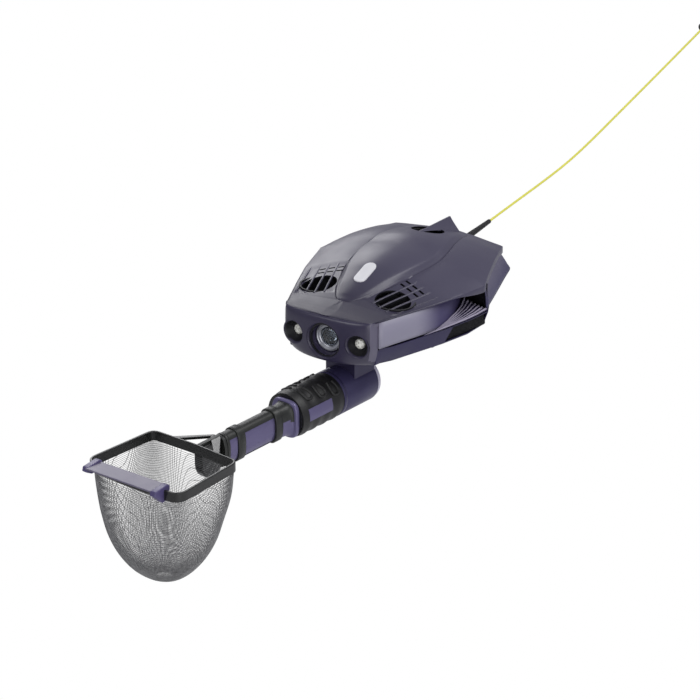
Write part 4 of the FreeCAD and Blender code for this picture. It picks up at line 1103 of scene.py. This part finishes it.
def dome(radius, front, deep, steps):
    """Profile of a dome from its middle, at front, to its edge, deep behind it."""
    angles = [math.pi / 2 * k / steps for k in range(steps + 1)]
    return [(radius * math.sin(a), front + deep * (1 - math.cos(a))) for a in angles]


def camera_pot():
    """Deep recess, bright clamping ring, window and lens inside it."""
    place = Matrix.Translation((0, -127.4, CAMERA_HIGH))
    piece("camera_cone", spun([(19.3, 0.9), (18.6, 0.5), (18.0, 0.8), (17.2, 3.0), (15.6, 7.6),
                               (14.6, 10.4), (14.4, 15.0), (15.4, 15.0), (16.2, 8.4),
                               (18.0, 3.4), (19.3, 1.9), (19.3, 0.9)], 96),
          FACE, "hull", (), place, smooth=60)
    piece("lens_ring", spun([(14.2, 13.0), (14.2, 9.9), (13.9, 9.4), (12.9, 9.3), (12.5, 9.9),
                             (12.2, 10.2), (10.6, 10.6), (9.6, 11.6), (9.6, 14.0),
                             (14.2, 14.0), (14.2, 13.0)], 96),
          RING, "hull", ("camera_lens_ring",), place, smooth=30)
    piece("lens_barrel", spun([(9.5, 12.6), (8.6, 12.4), (8.2, 13.0), (7.4, 13.4), (7.0, 14.6),
                               (5.2, 15.0), (5.0, 16.8), (0.0, 17.0), (0.0, 20.0), (9.5, 20.0),
                               (9.5, 12.6)], 64),
          BLACK, "hull", (), place, smooth=30)
    piece("lens_trim", spun([(8.4, 12.3), (8.4, 11.8), (7.7, 11.8), (7.5, 12.6), (8.2, 12.9),
                             (8.4, 12.3)], 64), RING, "hull", (), place, smooth=30)
    glass = dome(9.5, 8.6, 2.8, 10) + [(9.5, 12.0), (0.0, 10.4)]
    piece("camera_glass", spun(glass, 64), GLASS, "hull", ("camera_window",), place, smooth=30)
    eye = dome(4.9, 13.4, 1.8, 8) + [(4.9, 16.6), (0.0, 16.6)]
    piece("camera_eye", spun(eye, 48), GLASS, "hull", (), place, smooth=30)


def lamps():
    """A lamp each side of the camera, toed out: cone with painted shade in its deeper part, and
    moulded lens.
    """
    for side, word in SIDES:
        lean = Matrix.Rotation(side * math.radians(7), 4, "Z")
        place = Matrix.Translation((side * LAMP_OUT, -124.9, LAMP_HIGH)) @ lean
        cone = piece("lamp_cone_" + word,
                     spun([(12.8, 1.0), (12.0, 0.6), (11.3, 0.9), (10.4, 3.0), (8.4, 7.0),
                           (6.6, 9.4), (0.0, 9.6), (0.0, 10.8), (7.4, 10.8), (9.6, 7.6),
                           (12.8, 2.0), (12.8, 1.0)], 64),
                     [FACE, INSIDE_PAINTED_SHADE], "hull", ("lamp_reflector_" + word,), place, smooth=50)
        # painted shade: the deeper part of the cone takes the near-black finish
        for polygon in cone.data.polygons:
            if polygon.center.y / MM > -122.2:
                polygon.material_index = 1
        cap = dome(5.2, 6.0, 3.0, 8) + [(5.2, 9.4), (0.0, 9.4)]
        piece("lamp_lens_cap_" + word, spun(cap, 48), LAMP, "hull", ("lamp_lens_" + word,),
              place, smooth=40)


# ------------------------------------------------------------------------- arm

ARM_TURN = math.radians(180 - 8.3)
ARM_HIGH, ARM_BACK = -88.3, -22.5
ARM = (Matrix.Translation((*SWIVEL, ARM_HIGH)) @ Matrix.Rotation(ARM_TURN, 4, "Z")
       @ Matrix.Translation((0, ARM_BACK, 0)))
POLE_ASIDE = -2.5


def arm_housing():
    """Pale end cap and the dyed tube that holds the drive."""
    cap = [(0.0, 0.0), (18.6, 0.0), (20.2, 0.3), (21.4, 1.3), (22.0, 2.8), (22.0, 5.7),
           (20.2, 5.9), (20.2, 9.0), (0.0, 9.0)]
    piece("rear_cap", spun(cap), LILAC, "arm", ("arm_rear_cap",), ARM, smooth=50)
    tube = [(20.5, 6.0), (22.3, 6.0), (22.9, 6.5), (23.0, 7.2), (23.0, 52.6), (22.7, 53.0),
            (22.7, 53.4), (23.0, 53.8), (23.0, 56.6), (22.6, 57.3), (21.9, 57.5), (17.3, 57.5),
            (17.3, 54.6), (20.5, 54.6), (20.5, 6.0)]
    piece("housing_tube", spun(tube), HOUSING, "arm", ("arm_housing",), ARM, smooth=40)


def grip():
    """Rubber grip with shallow waves, three raised loops each side and a window."""
    profile = [(21.1, 57.7), (22.2, 57.7), (22.6, 58.4)]
    t = 59.0
    while t < 117.8:
        wave = 0.5 - 0.5 * math.cos((t - 59.0) / 58.8 * 4 * 2 * math.pi)
        profile.append((22.55 + 0.85 * wave, t))
        t += 1.2
    profile += [(22.5, 118.0), (22.3, 118.4), (21.1, 118.4), (21.1, 57.7)]
    piece("grip_rubber_sleeve", spun(profile, 96), RUBBER, "arm", ("grip_sleeve",), ARM,
          smooth=50)
    for side, word in SIDES:
        loops = [grip_loop(side, 67.8 + 17.0 * k, 27.0 + 9.0 * k) for k in range(3)]
        piece("grip_loops_" + word, joined(*loops), RUBBER, "arm", (), ARM, smooth=60)
        sheet = grid(12, 12, lambda u, v: on_grip(side, 23.62, lerp(76.5, 110.5, v),
                                                  lerp(24.0, -6.0, u)))
        window = closed_sheet(sheet, lambda spot: (spot.x * 0.96, spot.y, spot.z * 0.96))
        piece("grip_window_" + word, window, VIOLET, "arm", (), ARM, smooth=40)


def on_grip(side, radius, along, angle):
    """Point round the grip's axis, its angle in degrees up from the side."""
    a = math.radians(angle)
    return Vector((side * radius * math.cos(a), along, radius * math.sin(a)))


def grip_loop(side, along, low):
    """A raised U of rubber lying on the side of the grip, its bend at angle low."""
    path = [(along - 3.4, low + 34.0), (along - 4.6, low + 22.0), (along - 5.0, low + 13.0)]
    path += [(along - 5.0 * math.cos(a), low + 11.0 - 11.0 * math.sin(a))
             for a in (math.pi * k / 12 for k in range(1, 12))]
    path += [(along + 5.0, low + 13.0), (along + 4.6, low + 22.0), (along + 3.4, low + 34.0)]
    spots = [on_grip(side, 23.1, t, angle) for t, angle in path]
    disc = bmesh.new()
    bmesh.ops.create_circle(disc, segments=10, radius=1.55)
    ring = [vert.co.copy() for vert in disc.verts]
    disc.free()
    sections = []
    for before, spot, after in zip(spots[:1] + spots, spots, spots[1:] + spots[-1:]):
        ahead = (after - before).normalized()
        turn = Vector((0, 0, 1)).rotation_difference(ahead).to_matrix()
        sections.append([turn @ point + spot for point in ring])
    return skinned(sections, capped=(0, -1))


def tall_section(wide, tall, power, along):
    """Ring of points round a tall rounded oblong, set towards the arm's right side."""
    count = 96
    corners = [squircle(k / count, power) for k in range(count)]
    return [(wide * x + POLE_ASIDE, along, tall * z) for x, z in corners]


def tall_skin(rows):
    """Closed skin over rows of half width, half height, squareness and place along."""
    return skinned([tall_section(*row) for row in rows])


def flange():
    """Violet end of the grip: rounded square rim, hollowed neck and a near-black disc as painted
    shade of a screw hole.
    """
    rim = [(9.0, 14.0, 2.6, 118.6), (14.2, 17.2, 3.2, 118.8), (15.2, 18.6, 3.6, 119.2),
           (15.7, 19.2, 3.8, 120.4), (15.7, 19.2, 3.8, 122.8), (15.3, 18.8, 3.8, 123.9),
           (14.4, 18.0, 3.7, 124.4), (13.2, 17.2, 3.4, 124.4), (12.0, 16.9, 3.2, 125.2),
           (11.0, 16.6, 3.0, 127.4), (10.2, 16.3, 2.8, 131.0), (9.8, 16.2, 2.8, 138.0),
           (8.2, 14.6, 2.6, 138.0)]
    obj = piece("grip_end", tall_skin(rim), [VIOLET, RAIL],
                "arm", ("grip_flange",), ARM, smooth=50)
    for polygon in obj.data.polygons:
        spot = ARM.inverted() @ (polygon.center / MM)
        if spot.y > 124.6 and spot.z > 10.5 + 0.8 * (spot.x - POLE_ASIDE):
            polygon.material_index = 1
    # the screw hole is a shallow near-black disc: painted shade
    hole = drill(0, 0, 0, 1.3, depth=0.6, steps=20)
    aim = Vector((-0.1, 0.5, 0.85)).normalized()
    turn = Vector((0, 0, 1)).rotation_difference(aim).to_matrix().to_4x4()
    moved(hole, Matrix.Translation((-5.5, 127.2, 16.6)) @ turn)
    piece("grip_screw_hole_shade", hole, INSIDE_PAINTED_SHADE, "arm", (), ARM)
    ring = [(8.6, 15.4, 2.8, 137.6), (10.6, 16.9, 2.8, 137.6), (11.0, 17.3, 2.8, 138.1),
            (11.0, 17.3, 2.8, 146.4), (10.6, 16.9, 2.8, 147.0), (8.6, 15.4, 2.8, 147.0)]
    piece("rear_clamp", tall_skin(ring), RAIL, "arm",
          ("clamp_ring_rear",), ARM, smooth=40)


def pole():
    """Tall oblong pole, its violet side framed by black covers above and below."""
    round_end = [(11.0, 30.0), (14.0, 30.0), (14.0, 34.0), (11.0, 34.0), (11.0, 30.0)]
    tube = [(6.4, 13.8, 2.8, 34.0), (8.0, 15.4, 2.8, 34.0), (8.0, 15.4, 2.8, 213.0),
            (7.6, 15.0, 2.8, 213.7), (6.4, 13.8, 2.8, 213.7)]
    piece("pole_tube", joined(tall_skin(tube), spun(round_end)),
          VIOLET, "pole", ("arm_pole",), ARM, smooth=30)
    for name, level, way, node in (("pole_cover_top", 10.8, 1, "pole_rail_top"),
                                   ("pole_cover_bottom", -14.0, -1, "pole_rail_bottom")):
        cover = [(7.0, 14.6, 2.8, 40.2), (8.5, 15.95, 2.8, 40.2), (8.5, 15.95, 2.8, 213.6),
                 (7.0, 14.6, 2.8, 213.6)]
        bm = tall_skin(cover)
        bmesh.ops.bisect_plane(bm, geom=bm.verts[:] + bm.edges[:] + bm.faces[:],
                               plane_co=(0, 0, level), plane_no=(0, 0, way), clear_inner=True)
        bmesh.ops.holes_fill(bm, edges=border(bm))
        piece(name, bm, RAIL, "pole", (node,), ARM, smooth=40)
    ring = [(7.6, 15.2, 2.8, 189.6), (9.6, 16.6, 2.8, 189.6), (10.0, 17.0, 2.8, 190.1),
            (10.0, 17.0, 2.8, 198.9), (9.6, 16.6, 2.8, 199.4), (7.6, 15.2, 2.8, 199.4)]
    end = [(7.6, 15.2, 2.8, 210.2), (8.7, 16.0, 2.8, 210.2), (9.0, 16.3, 2.8, 210.6),
           (9.0, 16.3, 2.8, 213.2), (8.7, 16.0, 2.8, 213.6), (7.6, 15.2, 2.8, 213.6)]
    piece("front_clamp", joined(tall_skin(ring),
                                tall_skin(end)),
          RAIL, "pole", ("clamp_ring_front",), ARM, smooth=40)


# -------------------------------------------------------------------- net head

# stands a flat outline, drawn along and upward, upright along the arm
SIDEWAYS = Matrix(((0, 0, 1, 0), (1, 0, 0, 0), (0, 1, 0, 0), (0, 0, 0, 1)))


def yoke():
    """Collar with its round pin, and the keel, plates and bar that carry the frame."""
    collar = [(0.05, 0.1, 2.6, 214.3), (8.4, 15.6, 2.8, 214.3), (8.8, 16.0, 2.8, 214.7),
              (8.8, 16.0, 2.8, 217.4), (8.4, 15.6, 2.8, 217.9), (0.05, 0.1, 2.6, 217.9)]
    spigot = spun([(0.0, 200.0), (3.4, 200.0), (3.6, 200.4), (3.6, 215.0), (0.0, 215.0)])
    piece("yoke_ring", joined(tall_skin(collar), spigot), [RAIL], "net", ("yoke_collar",),
          ARM, smooth=40)
    keel = [(217.9, 14.6), (217.9, -13.0), (220.5, -17.0), (224.5, -19.8), (229.5, -20.9),
            (234.5, -20.3), (239.0, -18.0), (242.6, -14.2), (244.9, -9.4), (245.6, -4.0),
            (245.6, 7.0), (244.0, 14.6)]
    web = moved(slab(keel, -7.0, 3.0), SIDEWAYS)
    gusset = slab([(-6, 217.9), (2, 217.9), (1.5, 224.0), (-23, 247.0), (-30, 246.6)], 13.6, 16.4)
    strut = slab([(3.0, 217.9), (-2.0, 217.9), (24.0, 247.0), (31, 246.6)], 13.6, 16.4)
    bar = slab([(-4.2, 217.9), (0.2, 217.9), (0.2, 244.2), (-4.2, 244.2)], 12.6, 16.8)
    piece("yoke_keel", web, BLACK, "net", (), ARM, smooth=30, bevel=1.6)
    piece("yoke_plates", joined(gusset, strut), BLACK, "net", ("yoke_web",), ARM, smooth=30,
          bevel=0.5)
    piece("yoke_bar", bar, RAIL, "net", (), ARM, smooth=30, bevel=0.5)


def frame_line():
    """Rounded outline of the net frame, wider at its front."""
    def arc(corner, radius, before, after):
        corner = Vector(corner)
        start = corner + (Vector(before) - corner).normalized() * radius
        end = corner + (Vector(after) - corner).normalized() * radius
        shares = [k / 8.0 for k in range(9)]
        return [tuple(start * (1 - t) ** 2 + corner * 2 * t * (1 - t) + end * t * t)
                for t in shares]

    rear, front = (53.2, 246.2), (58.2, 333.2)
    half = arc(rear, 9.0, (0.0, 244.0), front) + arc(front, 14.0, rear, (0.0, 335.6))
    return [(0.0, 244.0)] + half + [(0.0, 335.0)] + [(-x, y) for x, y in reversed(half)]


def net_frame():
    """Band round the mouth of the net: a slab opened up inside its rim."""
    bm = slab(frame_line(), 7.0, 17.0)
    caps = [face for face in bm.faces if abs(face.normal.z) > 0.9]
    bmesh.ops.inset_region(bm, faces=caps, thickness=2.6, use_even_offset=True)
    inner = [face for face in bm.faces if abs(face.normal.z) > 0.9 and len(face.verts) > 6]
    edges = [edge for face in inner for edge in face.edges]
    bmesh.ops.delete(bm, geom=inner, context="FACES_ONLY")
    bmesh.ops.bridge_loops(bm, edges=edges)
    piece("frame_band", bm, BLACK, "net", ("net_frame",), ARM, smooth=25, bevel=0.9)


def scraper():
    """Flat blade across the frame's front, held by a wedge at each end."""
    blade = slab([(-33, 325.5), (41, 329.5), (42.2, 348.7), (-35.2, 345.2)], 17.0, 18.6)
    piece("scraper_strip", blade, BLADE, "net", ("scraper_blade",), ARM, bevel=0.5)
    near = moved(slab([(346.4, 15.0), (345.0, 18.8), (329.0, 20.6), (325.6, 19.2), (325.4, 15.5),
                       (331.5, 5.6), (335.5, 4.6)], -41.2, -34.8), SIDEWAYS)
    far = moved(slab([(348.6, 14.4), (347.2, 18.8), (331.0, 20.6), (327.6, 19.2), (327.4, 13.5),
                      (335.5, 10.6), (341.5, 10.6)], 40.2, 46.6), SIDEWAYS)
    piece("scraper_wedges", joined(near, far), WEDGE, "net", (), ARM, bevel=0.9)


# share of the depth, centre across and along, shares of width and length, squareness
BAG = [(0.0, 0.0, 0.0, 1.0, 1.0, 6.0), (0.19, 0.5, 0.0, 0.99, 0.985, 5.0),
       (0.407, 3.0, 0.0, 0.945, 0.94, 3.8), (0.597, 5.0, -1.0, 0.865, 0.875, 3.2),
       (0.753, 7.0, -2.5, 0.74, 0.765, 2.7), (0.874, 8.5, -4.0, 0.57, 0.605, 2.3),
       (0.952, 9.0, -5.5, 0.375, 0.405, 2.1), (1.0, 9.5, -6.5, 0.16, 0.18, 2.0)]


def bag_point(around, depth):
    """Point of the bag's surface, both places from 0 to 1."""
    share = min(1.0, depth)
    across, along, wide, long, power = (eased(BAG, share, column) for column in range(1, 6))
    x, y = squircle(around, power)
    return Vector((across + 55.9 * wide * x, 289.5 + along + 44.2 * long * y,
                   6.8 - 115.3 * share))


def net_bag():
    """Woven net: fine crossing wires over a rounded bag."""
    rounds, levels, twist = 168, 74, 0.06
    bm = grid(rounds, levels, lambda u, v: bag_point(u + v * twist, 0.002 + 0.998 * v ** 0.9))
    bmesh.ops.remove_doubles(bm, verts=bm.verts, dist=0.12)
    bottom = [edge for edge in border(bm) if edge.verts[0].co.z < -100]
    bmesh.ops.holes_fill(bm, edges=bottom, sides=0)
    obj = piece("net_bag", bm, NET, "net", ("mesh_bag",), ARM, smooth=180)
    weave = obj.modifiers.new("weave", "WIREFRAME")
    weave.thickness = 0.68 * MM
    weave.use_even_offset = False
    weave.use_relative_offset = False
    weave.use_replace = True
    fixed(obj)


refinish()
camera()
studio()
floor()
tether()
strain_relief()
deck()
deck_bars()
badge()
fin()
belly()
side_grilles()
belly_pips()
rear_walls()
mouth_painted_shade()
shelf()
channel_walls()
channel_ribs()
nose()
camera_pot()
lamps()
arm_housing()
grip()
flange()
pole()
yoke()
net_frame()
scraper()
net_bag()
